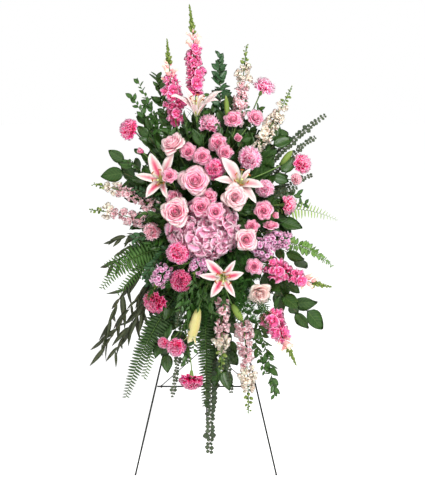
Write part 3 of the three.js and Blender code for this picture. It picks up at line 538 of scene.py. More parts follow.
def growTree():
    tree, given, finished = growthGroup("growAlongStems", {
        "Leaf": "Object", "Spacing": 0.01, "From": 0.0, "To": 1.0, "Size": 0.02, "Base Share": 0.6,
        "Peak": 0.35, "Tip Share": 0.3, "Angle": 60.0, "Tip Angle": 30.0, "Turn": 180.0, "Flatness": 1.0,
        "Droop": 0.0, "Uneven": 0.12, "Lift": 0.0, "Stem Radius": 0.0012, "Stem Taper": 0.4,
        "Outward": (0, -1, 0.2), "Seed": 1, "Leaf Material": "Material", "Stem Material": "Material"})
    curve = wire(tree, "GeometryNodeMeshToCurve", {0: given["Geometry"]})
    share = wire(tree, "GeometryNodeSplineParameter", None, "Factor")
    curve = wire(tree, "GeometryNodeStoreNamedAttribute", {
        "Geometry": curve, "Name": "along", "Value": share}, data_type="FLOAT", domain="POINT")

    spots = node(tree, "GeometryNodeCurveToPoints", {"Curve": curve, "Length": given["Spacing"]},
                 mode="LENGTH")
    along = wire(tree, "GeometryNodeInputNamedAttribute", {"Name": "along"}, data_type="FLOAT")
    early = wire(tree, "FunctionNodeCompare", {0: along, 1: given["From"]}, operation="LESS_THAN")
    late = wire(tree, "FunctionNodeCompare", {0: along, 1: given["To"]}, operation="GREATER_THAN")
    outside = wire(tree, "FunctionNodeBooleanMath", {0: early, 1: late}, operation="OR")
    tangent = node(tree, "GeometryNodeCaptureAttribute", {"Geometry": Wire(spots.outputs["Points"])})
    tangent.capture_items.new("VECTOR", "tangent")
    tree.links.new(spots.outputs["Tangent"], tangent.inputs[1])
    points = wire(tree, "GeometryNodeDeleteGeometry", {
        "Geometry": Wire(tangent.outputs[0]), "Selection": outside}, domain="POINT")

    way = vectors("NORMALIZE", Wire(tangent.outputs[1]))
    side = vectors("NORMALIZE", vectors("CROSS_PRODUCT", way, given["Outward"]))
    over = vectors("CROSS_PRODUCT", side, way)
    index = wire(tree, "GeometryNodeInputIndex")
    turn = maths("RADIANS", index * given["Turn"] + uneven(given, 90.0, 3))
    aside = swung(side, over, turn)
    lean = wire(tree, "ShaderNodeMix", {0: along, 2: given["Angle"], 3: given["Tip Angle"]},
                data_type="FLOAT")
    heading = swung(way, aside, maths("RADIANS", lean + uneven(given, 60.0, 4)))
    fall = wire(tree, "ShaderNodeCombineXYZ", {2: given["Droop"] * -1.0})
    heading = vectors("NORMALIZE", vectors("ADD", heading, fall))
    face = wire(tree, "ShaderNodeMix", {"Factor": given["Flatness"], 4: way, 5: over}, 1, data_type="VECTOR",
                factor_mode="UNIFORM")
    pose = wire(tree, "FunctionNodeAxesToRotation", {0: heading, 1: face}, primary_axis="Y",
                secondary_axis="Z")
    pose = spun(tree, pose, {0: uneven(given, 1.6, 5), 1: uneven(given, 2.5, 6)})
    rise = wire(tree, "ShaderNodeMapRange", {
        0: along, 1: given["From"], 2: given["Peak"], 3: given["Base Share"], 4: 1.0},
                interpolation_type="SMOOTHSTEP")
    ebb = wire(tree, "ShaderNodeMapRange", {
        0: along, 1: given["Peak"], 2: given["To"], 3: 1.0, 4: given["Tip Share"]})
    size = rise * ebb * given["Size"] * (uneven(given, 1.2, 7) + 1.0)
    lift = vectors("SCALE", aside, given["Lift"])
    points = wire(tree, "GeometryNodeSetPosition", {"Geometry": points, "Offset": lift})
    grown = grownCopies(tree, given, points, "Leaf", pose, size, 8)

    thin = given["Stem Radius"] * (1.0 - share * given["Stem Taper"])
    thread = wire(tree, "GeometryNodeSetCurveRadius", {"Curve": curve, "Radius": thin})
    ring = wire(tree, "GeometryNodeCurvePrimitiveCircle", {"Resolution": 5, "Radius": 1.0})
    stem = node(tree, "GeometryNodeCurveToMesh", {"Curve": thread, "Profile Curve": ring, "Fill Caps": True})
    if "Scale" in stem.inputs:
        setInputs(stem, {"Scale": thin})
    stem = wire(tree, "GeometryNodeSetMaterial", {"Geometry": Wire(stem.outputs[0]),
                                                  "Material": given["Stem Material"]})
    both = node(tree, "GeometryNodeJoinGeometry", {0: stem})
    setInputs(both, {0: grown})
    setInputs(finished, {"Geometry": Wire(both.outputs[0])})
    return tree


def domeTree():
    tree, given, finished = growthGroup("floretDome", {
        "Floret": "Object", "Size": 0.022, "Uneven": 0.15, "Seed": 1, "Floret Material": "Material"})
    normal = wire(tree, "GeometryNodeInputNamedAttribute", {"Name": "way"}, data_type="FLOAT_VECTOR")
    pose = wire(tree, "FunctionNodeAlignRotationToVector", {2: normal}, axis="Y")
    pose = spun(tree, pose, {0: uneven(given, 2.0, 1), 1: drawn(0.0, 6.28, given["Seed"], 3),
                             2: uneven(given, 2.0, 2)})
    size = given["Size"] * (uneven(given, 1.0, 4) + 1.0)
    setInputs(finished, {"Geometry": grownCopies(tree, given, given["Geometry"], "Floret", pose, size, 5)})
    return tree


trees = {"grow": growTree(), "dome": domeTree()}
patterns = {}


def evaluatedWith(tree, thing, values):
    modifier = thing.modifiers.new("grown", "NODES")
    modifier.node_group = tree
    names = {item.name: item.identifier for item in tree.interface.items_tree if item.in_out == "INPUT"}
    for key, value in values.items():
        if isinstance(value, str):
            value = bpy.data.materials[value] if key.endswith("Material") else patterns[value]
        modifier[names[key]] = value
    view = bpy.context.evaluated_depsgraph_get()
    mesh = bpy.data.meshes.new_from_object(thing.evaluated_get(view), preserve_all_data_layers=True,
                                           depsgraph=view)
    thing.modifiers.clear()
    thing.data = mesh
    mesh.polygons.foreach_set("use_smooth", np.ones(len(mesh.polygons), bool))
    return thing


# Leaves, florets or buds along paths given in millimetres on the leaning frame.
def grow(name, paths, rule):
    points, edges = [], []
    for path in paths:
        edges += [(len(points) + i, len(points) + i + 1) for i in range(len(path) - 1)]
        points += [at(*place).tolist() for place in path]
    mesh = bpy.data.meshes.new(name)
    mesh.from_pydata(points, edges, [])
    return evaluatedWith(trees["grow"], linked(name, mesh), rule)


# Patterns for leaves: base at the origin, one unit long along +Y, face towards +Z.

def leafPattern(name, width, across, along, fold, arch, wave, widest, point, teeth=0, base=0.06):
    def shape(u, v):
        swell = np.sin(math.pi * v ** (math.log(0.5) / math.log(widest))) ** point
        half = width / 2 * np.maximum(np.maximum(swell, base * (v < widest)), 0.06)
        half = half * (1 + 0.12 * np.abs(np.sin(v * math.pi * teeth)))
        return u * half, v, (fold * width * u ** 2 + wave * width * np.sin(v * 11 + u * 2) * np.abs(u)
                             - arch * v ** 2)

    pile = []
    add(pile, sheet(across, along, shape, 0.012), "salalLeaves", vary=0.5)
    patterns[name] = makeObject(name, pile)


# Two round leaves that face each other across the twig.
def pairPattern(name, width):
    pile = []
    for side in (-1, 1):
        def shape(u, v):
            half = width / 2 * np.maximum(np.sin(math.pi * v ** 0.8) ** 0.6, 0.08)
            return side * v, side * u * half, 0.1 * u ** 2 + 0.15 * v ** 2
        add(pile, sheet(5, 5, shape, 0.03), "eucalyptusLeaves")
    patterns[name] = makeObject(name, pile)


# A three-sided closed spike from a wide foot to a sharp tip.
def needle(foot, tip, width):
    foot, tip = np.array(foot), np.array(tip)
    side = np.cross(tip - foot, (0, 0, 1)) / np.linalg.norm(tip - foot) * width / 2
    return {"points": np.array([foot + side, foot - side, foot + (0, 0, width * 0.4), tip]),
            "quads": np.zeros((0, 4), int), "tris": np.array([[0, 1, 2], [1, 0, 3], [2, 1, 3], [0, 2, 3]]),
            "chart": np.array([[0, 0], [1, 0], [0.5, 0], [0.5, 1]], float)}


# A flat spray of fine needles, one unit long.
def plumePattern(name, pairs):
    pile = []
    add(pile, tube([(0, 0, 0), (0, 1, 0)], [0.014, 0.006], 3), "plumosusNeedles")
    for i in range(pairs):
        v = 0.06 + i * 0.115
        reach = 0.36 * math.sin(math.pi * (0.2 + 0.75 * v))
        for side in (-1, 1):
            tip = (side * reach, v + 0.2, draws.uniform(-0.06, 0.1))
            add(pile, needle((0, v + 0.03 * side, 0), tip, 0.07), "plumosusNeedles")
    patterns[name] = makeObject(name, pile)


# Patterns for florets: root at the origin, opening towards +Y.

def lobe(length, width, cup, ruffle, notch, across, along):
    phase = draws.uniform(0, 6)

    def shape(u, v):
        half = width / 2 * (0.22 + 0.78 * np.sin(math.pi * (0.04 + 0.58 * v)))
        reach = length * v * (np.sqrt(1 - 0.6 * u ** 2 * v) - notch * np.exp(-(u * 3) ** 2) * v)
        return u * half, reach, cup * v ** 2 + ruffle * np.sin(u * 3 + phase) * v ** 2 + 0.1 * u ** 2 * v
    return sheet(across, along, shape, 0.03)


# A petal along +Y with its face to +Z, stood round the +Y axis: tilt 0 closed along it, 90 degrees flat open.
def upward(piece, tilt, spin, root, up):
    c, s = math.cos(tilt), math.sin(tilt)
    x, y, z = piece["points"].T
    radial, height = y * s - z * c + root, y * c + z * s + up
    cosine, sine = math.cos(spin), math.sin(spin)
    moved = np.stack([radial * cosine - x * sine, height, radial * sine + x * cosine], 1)
    return dict(piece, points=moved, quads=piece["quads"][:, ::-1])


def floretPattern(name, lobes, length, width, tilt, cup, ruffle, notch=0.0, throat=0.0, grid=(4, 3), eye=0.0):
    pile = []
    if throat:
        add(pile, tube([(0, 0, 0), (0, throat, 0)], [0.05, 0.12], 3), "snapdragonPetals", tone=0.3)
    for i in range(lobes):
        spin = i * fullTurn / lobes + draws.uniform(-0.12, 0.12)
        petal = lobe(length, width, cup, ruffle, notch, *grid)
        petal = upward(petal, math.radians(tilt + draws.uniform(-8, 8)), spin, 0.02, throat)
        add(pile, petal, "snapdragonPetals", tone=draws.uniform(0.6, 1.0))
    if eye:
        bump = tube([(0, throat - 0.02, 0), (0, throat + eye * 0.7, 0)], [eye, eye * 0.5], 4)
        bump["chart"] = bump["chart"] * 0 + 0.9
        add(pile, bump, "snapdragonPetals", tone=1.0)
    patterns[name] = makeObject(name, pile)


towardsY = np.array([[1, 0, 0], [0, 0, 1], [0, -1, 0]], float)
# Two ruffled lobes stand up and three spread below. Each: spin, tilt, size, ruffle.
snapLobes = [(62, 55, 0.6, 0.1), (118, 55, 0.6, 0.1), (200, 88, 0.46, 0.08), (270, 100, 0.5, 0.08),
             (340, 88, 0.46, 0.08)]


def snapPattern(name):
    pile = []
    throat = tube([(0, 0, 0), (0, 0.2, 0), (0, 0.42, 0)], [0.07, 0.13, 0.15], 5)
    add(pile, throat, "snapdragonPetals", tone=0.7)
    for spin, tilt, size, ruffle in snapLobes:
        petal = lobe(size, size * 1.3, 0.16, ruffle, 0.12, 5, 4)
        petal = upward(petal, math.radians(tilt), math.radians(spin), 0.05, 0.36)
        add(pile, petal, "snapdragonPetals", tone=1.0)
    lip = turned([(0.01, -0.1), (0.1, -0.06), (0.13, 0.02), (0.07, 0.09), (0.01, 0.1)], 6)
    lip["points"] = lip["points"] @ towardsY.T + (0, 0.5, -0.08)
    add(pile, lip, "snapdragonPetals", tone=0.2)
    patterns[name] = makeObject(name, pile)


def budPattern(name, width, taper):
    profile = [(0.03, 0), (width * 0.42, 0.16), (width / 2, 0.42), (width * 0.36, 0.72),
               (width * taper * 0.3, 0.95)]
    pile = []
    add(pile, turned(profile, 6), "greenBuds", turn=towardsY, tone=0.8)
    patterns[name] = makeObject(name, pile)


# Each leaf: width, points across and along, fold, arch, wave, widest place, how pointed it is, teeth, foot.
leafShapes = {
    "pinna": [0.3, 3, 7, 0.05, 0.14, 0.0, 0.35, 0.65, 0, 0.95],
    "limePinna": [0.19, 3, 8, 0.05, 0.1, 0.0, 0.35, 0.6, 5, 0.9],
    "salal": [0.66, 5, 8, 0.16, 0.18, 0.03, 0.42, 0.8],
    "salalLong": [0.5, 5, 8, 0.2, 0.24, 0.04, 0.45, 0.85],
    "small": [0.56, 5, 5, 0.12, 0.12, 0.0, 0.45, 0.7],
    "glossy": [0.36, 5, 7, 0.18, 0.2, 0.02, 0.4, 1.0],
    "willow": [0.2, 3, 9, 0.1, 0.22, 0.0, 0.4, 0.8],
    "willowShort": [0.29, 3, 9, 0.1, 0.22, 0.0, 0.4, 0.8],
    "grassy": [0.09, 3, 9, 0.1, 0.3, 0.0, 0.4, 0.6],
}
for name, row in leafShapes.items():
    leafPattern(name, *row)
pairPattern("gumPair", 0.95)
plumePattern("plume", 8)
snapPattern("snap")
budPattern("snapTube", 0.42, 1.6)
budPattern("bud", 0.72, 0.5)
floretPattern("lark", 5, 0.62, 0.64, 62, 0.1, 0.07, 0.1, throat=0.22, eye=0.14)
floretPattern("stock", 4, 0.6, 0.76, 66, 0.1, 0.08, 0.12, throat=0.18)
floretPattern("hydrangea", 4, 1.0, 1.1, 80, 0.1, 0.03, grid=(5, 5))
print("patterns made", len(patterns))

# Blooms: petals in their layers, from the heart outwards.

# Each layer: petals, radius and height of their tops, half width in radians, outward curl.
roseForm = {
    "layers": [(2, 0.05, 0.50, 1.60, 0.00), (3, 0.14, 0.53, 1.35, 0.00), (3, 0.25, 0.54, 1.20, 0.02),
               (4, 0.37, 0.52, 1.05, 0.04), (4, 0.52, 0.47, 1.00, 0.07), (4, 0.68, 0.38, 1.00, 0.12),
               (4, 0.84, 0.22, 0.98, 0.19), (4, 0.98, -0.02, 0.95, 0.27)],
    "across": 11, "along": 9, "foot": -0.6, "uneven": 0.08, "ruffle": 0.028}
openRoseForm = dict(roseForm, layers=[
    (2, 0.05, 0.42, 1.60, 0.00), (3, 0.13, 0.45, 1.35, 0.00), (4, 0.23, 0.47, 1.15, 0.02),
    (4, 0.34, 0.46, 1.05, 0.04), (4, 0.47, 0.43, 1.00, 0.06), (5, 0.61, 0.37, 0.90, 0.10),
    (5, 0.77, 0.26, 0.88, 0.15), (4, 0.90, 0.10, 1.00, 0.22), (3, 1.00, -0.08, 1.00, 0.28)])
sprayRoseForm = {
    "layers": [(2, 0.05, 0.45, 1.60, 0.00), (3, 0.13, 0.48, 1.35, 0.01), (4, 0.23, 0.50, 1.10, 0.02),
               (5, 0.35, 0.48, 0.95, 0.04), (5, 0.49, 0.44, 0.90, 0.06), (6, 0.63, 0.36, 0.85, 0.10),
               (6, 0.79, 0.24, 0.82, 0.15), (6, 0.95, 0.04, 0.80, 0.20)],
    "across": 8, "along": 6, "foot": -0.55, "uneven": 0.09, "ruffle": 0.03}
budForm = {
    "layers": [(2, 0.08, 0.8, 1.6, 0.0), (3, 0.24, 0.84, 1.3, 0.0), (3, 0.46, 0.78, 1.2, 0.02),
               (4, 0.7, 0.5, 1.0, 0.06)],
    "across": 7, "along": 6, "foot": -0.9, "uneven": 0.06, "ruffle": 0.02}


def cupPetal(layer, form, middle, opening):
    _, topRadius, topHeight, half, curl = layer
    foot, ruffle = form["foot"], form["ruffle"] * (0.3 + opening)
    phase, lift = draws.uniform(0, 6), draws.uniform(-1, 1) * form["uneven"]
    topRadius = topRadius * (1 + draws.uniform(-1, 1) * form["uneven"])
    half, curl = half * draws.uniform(0.88, 1.1), curl * draws.uniform(0.7, 1.35)
    point = 0.03 + 0.13 * max(opening - 0.4, 0)
    bulge = 0.28 * (1 - opening)

    def shape(u, v):
        reach = v * (1 - 0.2 * u ** 2 * (0.4 + 0.6 * v)) + point * np.maximum(0, 1 - np.abs(u) * 2.2) * v ** 2
        radius = 0.05 * (1 - v) + topRadius * (reach ** 0.6) * (1 + bulge * np.sin(math.pi * reach))
        height = foot + (topHeight + lift - foot) * reach ** (0.75 + 0.35 * (1 - opening))
        rim = np.clip((reach - 0.68) / 0.32, 0, 1) ** 2
        edge = np.clip((np.abs(u) - 0.55) / 0.45, 0, 1) ** 2 * reach
        wave = ruffle * np.sin(u * 5 + phase) * v ** 3
        radius = radius * (1 + 0.1 * u) + curl * rim + curl * 0.4 * edge + wave
        height = height - curl * 0.75 * rim - curl * 0.3 * edge + wave
        angle = middle + half * u * (0.3 + 0.7 * np.sin(math.pi * (0.12 + 0.55 * v)))
        return radius * np.cos(angle), radius * np.sin(angle), height
    return shape


# A green cup with five narrow sepals that curl back.
def addCalyx(pile, spot, turn, scale, foot):
    width = 0.17
    cup = turned([(width * 0.35, foot - 0.34), (width, foot - 0.22), (width * 1.15, foot - 0.08),
                  (width * 0.8, foot + 0.02)])
    add(pile, cup, "calyxes", spot, turn, scale)
    for k in range(5):
        def shape(u, v):
            radius = width * 0.9 + v * 0.42
            angle = k * fifthTurn + 0.3 + u * 0.32 * (1 - v)
            return radius * np.cos(angle), radius * np.sin(angle), foot - 0.04 + 0.12 * v - 0.3 * v ** 3
        add(pile, sheet(3, 5, shape, 0.02), "calyxes", spot, turn, scale)


def addRose(pile, place, way, size, form, skin):
    spot, turn, scale = at(*place), basis(way, draws.uniform(0, 6)), size / 1000
    layers = form["layers"]
    for number, layer in enumerate(layers):
        opening = number / (len(layers) - 1)
        start = draws.uniform(0, fullTurn)
        for k in range(layer[0]):
            middle = start + fullTurn * (k + draws.uniform(-0.1, 0.1)) / layer[0]
            petal = sheet(form["across"], form["along"], cupPetal(layer, form, middle, opening), 0.018)
            add(pile, petal, skin, spot, turn, scale, tone=0.15 + 0.85 * opening)
    core = turned([(0.05, -0.3), (0.1, 0.0), (0.1, 0.28), (0.03, layers[0][2] - 0.06)])
    core["chart"] = core["chart"] * (1, 0.6)
    add(pile, core, skin, spot, turn, scale, tone=0.25)
    addCalyx(pile, spot, turn, scale, form["foot"])


# Each layer: petals, tilt from the axis in degrees, length, how far the petal's foot sits up.
carnationForm = {
    "layers": [(8, 90, 1.0, -0.10), (8, 74, 0.97, -0.03), (8, 57, 0.92, 0.02), (7, 39, 0.86, 0.05),
               (6, 20, 0.8, 0.06), (3, 6, 0.76, 0.06)],
    "spread": 0.54, "ruffle": 0.13, "across": 14, "along": 5, "waves": 6.5, "foot": -0.28,
    "cup": [(0.06, -0.95), (0.13, -0.88), (0.17, -0.6), (0.2, -0.4), (0.24, -0.26), (0.12, -0.2)]}


def carnationPetal(tilt, length, foot):
    phase, bend = draws.uniform(0, 6, 2)
    lean = math.radians(tilt + draws.uniform(-15, 15))
    length = length * draws.uniform(0.87, 1.07)
    spread, ruffle, waves = [carnationForm[key] for key in ("spread", "ruffle", "waves")]

    def shape(u, v):
        jag = 1 - 0.13 * (np.arange(u.shape[1]) % 2) * v ** 2 - 0.14 * u ** 2
        along = length * v * jag
        across = u * spread * length * (0.12 + 0.88 * v ** 0.8)
        push = ruffle * length * v ** 1.4 * (np.sin(u * waves + phase) + 0.5 * np.sin(u * 12 + bend))
        push = push - 0.16 * v ** 2 * length
        return (across, along * math.sin(lean) + push * math.cos(lean),
                foot + along * math.cos(lean) - push * math.sin(lean))
    return shape


def addCarnation(pile, place, way, size, skin):
    spot, turn, scale = at(*place), basis(way, draws.uniform(0, 6)), size / 1000
    for number, (count, tilt, length, up) in enumerate(carnationForm["layers"]):
        start = draws.uniform(0, 6)
        for k in range(count):
            shape = carnationPetal(tilt, length, carnationForm["foot"] + up)
            petal = sheet(carnationForm["across"], carnationForm["along"], shape, 0.02)
            angle = start + (k + draws.uniform(-0.2, 0.2)) * fullTurn / count
            petal["points"] = petal["points"] @ basis((0, 0, 1), angle).T
            add(pile, petal, skin, spot, turn, scale, tone=1 - 0.2 * number)
    add(pile, turned(carnationForm["cup"]), "calyxes", spot, turn, scale)


def twig(pile, points, count, radii, material="greenStems", sides=6):
    add(pile, tube(bent(points, count), radii, sides), material)


lilyForm = {"across": 9, "along": 17, "innerWidth": 0.43, "outerWidth": 0.31, "stamens": 6,
            "anther": [(0.0005, -0.007), (0.0018, -0.004), (0.0021, 0), (0.0018, 0.004), (0.0005, 0.007)]}


# A tepal's shape along a path: ruffled edges, a groove along the rib and a tip that narrows to nothing.
def tepalShape(path, side, way, width, lift, phase):
    steps = len(path) - 1

    def shape(u, v):
        index = np.clip(v * steps, 0, steps)
        low = np.minimum(index.astype(int), steps - 1)
        share = (index - low)[..., None]
        middle = path[low] * (1 - share) + path[low + 1] * share
        ahead = path[low + 1] - path[low]
        ahead = ahead / np.linalg.norm(ahead, axis=-1, keepdims=True)
        over = np.cross(ahead, side)
        over = over * np.sign((over @ way))[..., None]
        swell = np.sin(math.pi * np.clip(0.06 + 0.86 * v ** 0.85, 0, 1)) ** 0.9
        half = np.maximum(width / 2 * (0.2 + 0.8 * swell) * (1 - v ** 6), width * 0.025)
        ruffle = 0.3 * np.abs(u) ** 3 * np.sin(v * 13 + phase + u) * v
        cup = 0.3 * u ** 2 - 0.05 * np.exp(-(u * 5) ** 2) * (1 - v) + ruffle
        place = middle + side * (u * half)[..., None] + over * (cup * half + lift)[..., None]
        return place[..., 0], place[..., 1], place[..., 2]
    return shape


def addLily(pile, place, way, tips, size, pinkness):
    spot, turn, scale = at(*place), basis(way), size / 1000
    base = spot - way * scale * 0.42
    xAxis, yAxis = turn[:, 0], turn[:, 1]
    ends = sorted([tilted(*tip) / 1000 for tip in tips], key=lambda tip: math.atan2(tip @ yAxis, tip @ xAxis))
    for number, end in enumerate(ends):
        inner = number % 2 == 0
        flat = end - way * (end @ way)
        outwards, reach = unit(flat), np.linalg.norm(end)
        knee = base + way * scale * 0.62 + outwards * np.linalg.norm(flat) * 0.22
        shoulder = spot + end * 0.72 + way * reach * (0.16 if inner else 0.1)
        path = bent([base + outwards * 0.004, knee, shoulder, spot + end], lilyForm["along"])
        phase = draws.uniform(0, 6)
        width = reach * lilyForm["innerWidth" if inner else "outerWidth"]
        shape = tepalShape(path, np.cross(way, outwards), way, width, 0.0 if inner else -0.002, phase)
        add(pile, sheet(lilyForm["across"], lilyForm["along"], shape, 0.0009), "lilyTepals",
            tone=pinkness * (1.0 if inner else 0.75))
    for k in range(lilyForm["stamens"]):
        angle = k * fullTurn / lilyForm["stamens"] + 0.4
        out = turn @ np.array([math.cos(angle), math.sin(angle), 0])
        tip = spot + way * scale * 0.42 + out * scale * draws.uniform(0.26, 0.36)
        twig(pile, [base + out * 0.002, spot + out * scale * 0.04,
                    spot + way * scale * 0.25 + out * scale * 0.1, tip], 7, 0.0008, "filaments", 5)
        add(pile, turned(lilyForm["anther"], 6), "anthers", tip, basis(np.cross(out, way)))
    end = spot + way * scale * 0.55 - np.array([0, 0, scale * 0.12])
    twig(pile, [base, spot, spot + way * scale * 0.3, end], 8, [0.0022] * 4 + [0.0014] * 3 + [0.0034],
         "filaments")


# A closed lily bud with three seams. Flare is how far its parted tip spreads.
def addBud(pile, root, tip, radius, skin, flare):
    start, end = at(*root), at(*tip)
    length, turn = np.linalg.norm(end - start), basis(end - start)
    piece = turned([(0.1, 0), (0.55, 0.08), (0.86, 0.28), (1.0, 0.55), (0.86, 0.78), (0.45, 0.93),
                    (0.08, 1)], 18)
    angle = np.arctan2(piece["points"][:, 1], piece["points"][:, 0])
    press = 1 - 0.13 * np.abs(np.sin(angle * 3)) ** 4
    piece["points"][:, :2] *= (press * radius / 1000)[:, None]
    piece["points"][:, 2] *= length
    add(pile, piece, skin, start, turn, tone=0.8)
    for k in range(5 if flare else 0):
        cosine, sine = math.cos(k * fifthTurn), math.sin(k * fifthTurn)

        def shape(u, v):
            half = radius * 0.5 * np.maximum(np.sin(math.pi * (0.15 + 0.8 * v)), 0.1)
            out = radius * (0.5 + flare * v ** 2)
            return ((out * cosine - u * half * sine) / 1000, (out * sine + u * half * cosine) / 1000,
                    length * (0.72 + 0.3 * v))
        add(pile, sheet(4, 5, shape, 0.0007), skin, start, turn, tone=1.0)


# A stem that starts deep in the foam and bends smoothly through its places.
stemDepth = 22


def stem(pile, root, bends, end, radius=2.2, material="greenStems"):
    start = at(*root)
    points = [start] + [at(*bend) for bend in bends] + [np.asarray(end)]
    points.insert(0, start + unit(points[0] - points[1]) * stemDepth / 1000)
    line = []
    for i in range(len(points) - 1):
        before, after = points[max(i - 1, 0)], points[min(i + 2, len(points) - 1)]
        a, b = points[i], points[i + 1]
        pull = np.linalg.norm(b - a) / 3
        curve = bent([a, a + unit(b - before) * pull, b - unit(after - a) * pull, b], 5)
        line += curve[(1 if i else 0):].tolist()
    add(pile, tube(line, radius / 1000), material)


def sideStem(pile, fork, end, way, neck, count, radius):
    middle = at(*fork)
    twig(pile, [middle, middle * 0.6 + end * 0.4, end - way * neck, end], count, radius)


def backOf(place, way, size, depth):
    return at(*place) - way * size / 1000 * depth


print("bloom makers ready")

# Roses. Each: the stem's root in the foam, a bend or none, the bloom's place, where it faces, radius, skin.
roses = {
    "rose_upper_left": [onFront(-24, 940), None, (-110, 150, 1095), (-0.5, 0.8, 0.6), 37, "paleRosePetals"],
    "rose_centre": [onFront(-12, 915), None, (-33, 180, 970), (0, 1, 0.15), 42, "rosePetals"],
    "rose_left": [onFront(-40, 864), None, (-96, 190, 868), (-0.1, 1, 0.1), 40, "edgedRosePetals"],
    "rose_right": [onFront(34, 872), None, (95, 186, 916), (0.15, 1, 0), 35, "paleRosePetals"],
    "rose_low_right": [onSide(1, 74, 795), (98, 88, 792), (131, 172, 780), (0.2, 1, -0.1), 32,
                       "edgedRosePetals"],
    "rose_hanging": [onSide(1, 72, 730), None, (177, 122, 606), (0.15, 0.8, -0.5), 33, "creamRosePetals"],
}
openRoseSize, roseDepth = 38, 0.9
for name, (root, bend, place, way, size, skin) in roses.items():
    pile, way = [], facing(*way)
    addRose(pile, place, way, size, openRoseForm if size > openRoseSize else roseForm, skin)
    stem(pile, root, [bend] if bend else [], backOf(place, way, size, roseDepth))
    stand(makeObject(name + "_bloom", pile), name, slot="rose_petals")
print("roses made")

# Lilies. Each: root, place, facing, tepal tips from the place, size, how pink it is, then its buds: where the
# branch leaves, the bud's root and tip, radius, skin and flare.
lilies = {
    "lily_top": [
        onTop(-12, 74), (-30, 132, 1216), (0, 0.7, 1),
        [(-48, 5, 75), (-85, 25, 30), (85, 0, 55), (72, 45, 12), (25, -22, 45), (-15, 65, -5)], 78, 0.25,
        [((-14, 80, 985), (74, 94, 1165), (66, 92, 1262), 9, "greenBuds", 0)]],
    "lily_left": [
        onFront(-44, 925), (-145, 150, 975), (-0.2, 1, 0.1),
        [(-35, 0, 88), (42, -10, 95), (-85, 5, 15), (-47, 20, -60), (22, 15, -64), (66, -25, 22)],
        76, 0.95, []],
    "lily_right": [
        onFront(32, 935), (112, 160, 968), (0.1, 1, 0.3),
        [(-62, 10, 78), (34, -5, 45), (-86, 25, 5), (75, 10, -18), (52, 5, -72), (-20, -20, -50)], 78, 0.6,
        [((72, 122, 952), (245, 98, 1030), (285, 95, 1078), 10.5, "greenBuds", 0)]],
    "lily_low": [
        onFront(18, 745), (56, 172, 658), (0, 1, -0.1),
        [(-56, 5, 60), (40, 0, 57), (-78, 15, 8), (66, 5, 16), (-40, 15, -62), (38, 20, -62)], 76, 1.0,
        [((38, 124, 703), (-22, 122, 562), (-50, 112, 450), 18, "creamBud", 0.9),
         ((38, 124, 703), (84, 124, 574), (120, 118, 518), 12, "greenBuds", 0)]],
}
lilyDepth, lilyStemRadius = 0.4, 2.6
for name, (root, place, way, tips, size, pinkness, buds) in lilies.items():
    pile, way = [], facing(*way)
    addLily(pile, place, way, tips, size, pinkness)
    stem(pile, root, [], backOf(place, way, size, lilyDepth), lilyStemRadius)
    for origin, start, tip, radius, skin, flare in buds:
        addBud(pile, start, tip, radius, skin, flare)
        middle = np.array(start) - (np.array(tip) - np.array(start)) * 0.25
        between = at(*(np.array(origin) * 0.6 + middle * 0.4))
        twig(pile, [at(*origin), between, at(*middle), at(*start)], 9, 0.0018)
    stand(makeObject(name + "_bloom", pile), name, slot="lily_petals")
print("lilies made")

# Carnations. Each node: root, fork or none, then the blooms: place, radius, facing, skin.
carnations = {
    "carnation_top_right": [onTop(42, 42), None, [
        ((198, 70, 1300), 41, (0.5, 0.35, 0.8), "carnationPetals")]],
    "carnation_top": [onTop(8, 80), None, [((10, 110, 1168), 40, (0, 0.6, 0.7), "carnationPetals")]],
    "carnation_far_left": [onSide(-1, 72, 935), None, [
        ((-262, 72, 1155), 37, (-0.8, 0.7, 0.2), "hotCarnationPetals")]],
    "carnation_upper_right": [onFront(45, 938), None, [
        ((142, 140, 1048), 42, (0, 1, 0.1), "carnationPetals")]],
    "carnation_centre": [onFront(16, 925), None, [((28, 160, 1012), 38, (0, 1, 0.1), "hotCarnationPetals")]],
    "carnations_far_right": [onSide(1, 70, 925), (250, 68, 995), [
        ((325, 70, 1040), 37, (0.8, 0.7, 0.3), "pinkCarnationPetals"),
        ((300, 85, 985), 22, (0.5, 1, 0), "salmonCarnationPetals")]],
    "carnations_right": [onSide(1, 70, 862), (120, 75, 900), [
        ((192, 130, 950), 33, (0, 1, 0.1), "carnationPetals"),
        ((276, 90, 900), 36, (1, 0.45, 0), "pinkCarnationPetals")]],
    "carnations_left": [onFront(-44, 800), (-70, 110, 782), [
        ((-90, 155, 742), 41, (0, 1, 0.1), "hotCarnationPetals"),
        ((-180, 110, 810), 32, (-0.3, 1, 0), "salmonCarnationPetals")]],
    "carnations_lower_left": [onFront(-32, 736), (-75, 100, 690), [
        ((-80, 140, 650), 38, (0, 1, 0.1), "deepCarnationPetals"),
        ((-172, 100, 578), 41, (-0.5, 0.7, -0.4), "deepCarnationPetals")]],
    "carnations_hanging": [onBottom(-30, 60), (-70, 75, 500), [
        ((-98, 90, 428), 35, (-0.1, 0.8, -0.5), "hotCarnationPetals"),
        ((-142, 84, 446), 21, (-0.6, 0.8, 0), "hotCarnationPetals"),
        ((-47, 80, 317), 42, (0, 0.3, -1), "deepCarnationPetals")]],
}
carnationDepth, carnationTwig = 0.92, {"neck": 0.03, "count": 9, "radius": 0.0019}
for name, (root, fork, blooms) in carnations.items():
    pile = []
    for place, size, way, skin in blooms:
        way = facing(*way)
        addCarnation(pile, place, way, size, skin)
        end = backOf(place, way, size, carnationDepth)
        if fork is None:
            stem(pile, root, [], end)
        else:
            sideStem(pile, fork, end, way, **carnationTwig)
    if fork is not None:
        stem(pile, root, [], at(*fork))
    stand(makeObject(name + "_bloom", pile), name, slot="carnation_petals")
print("carnations made")

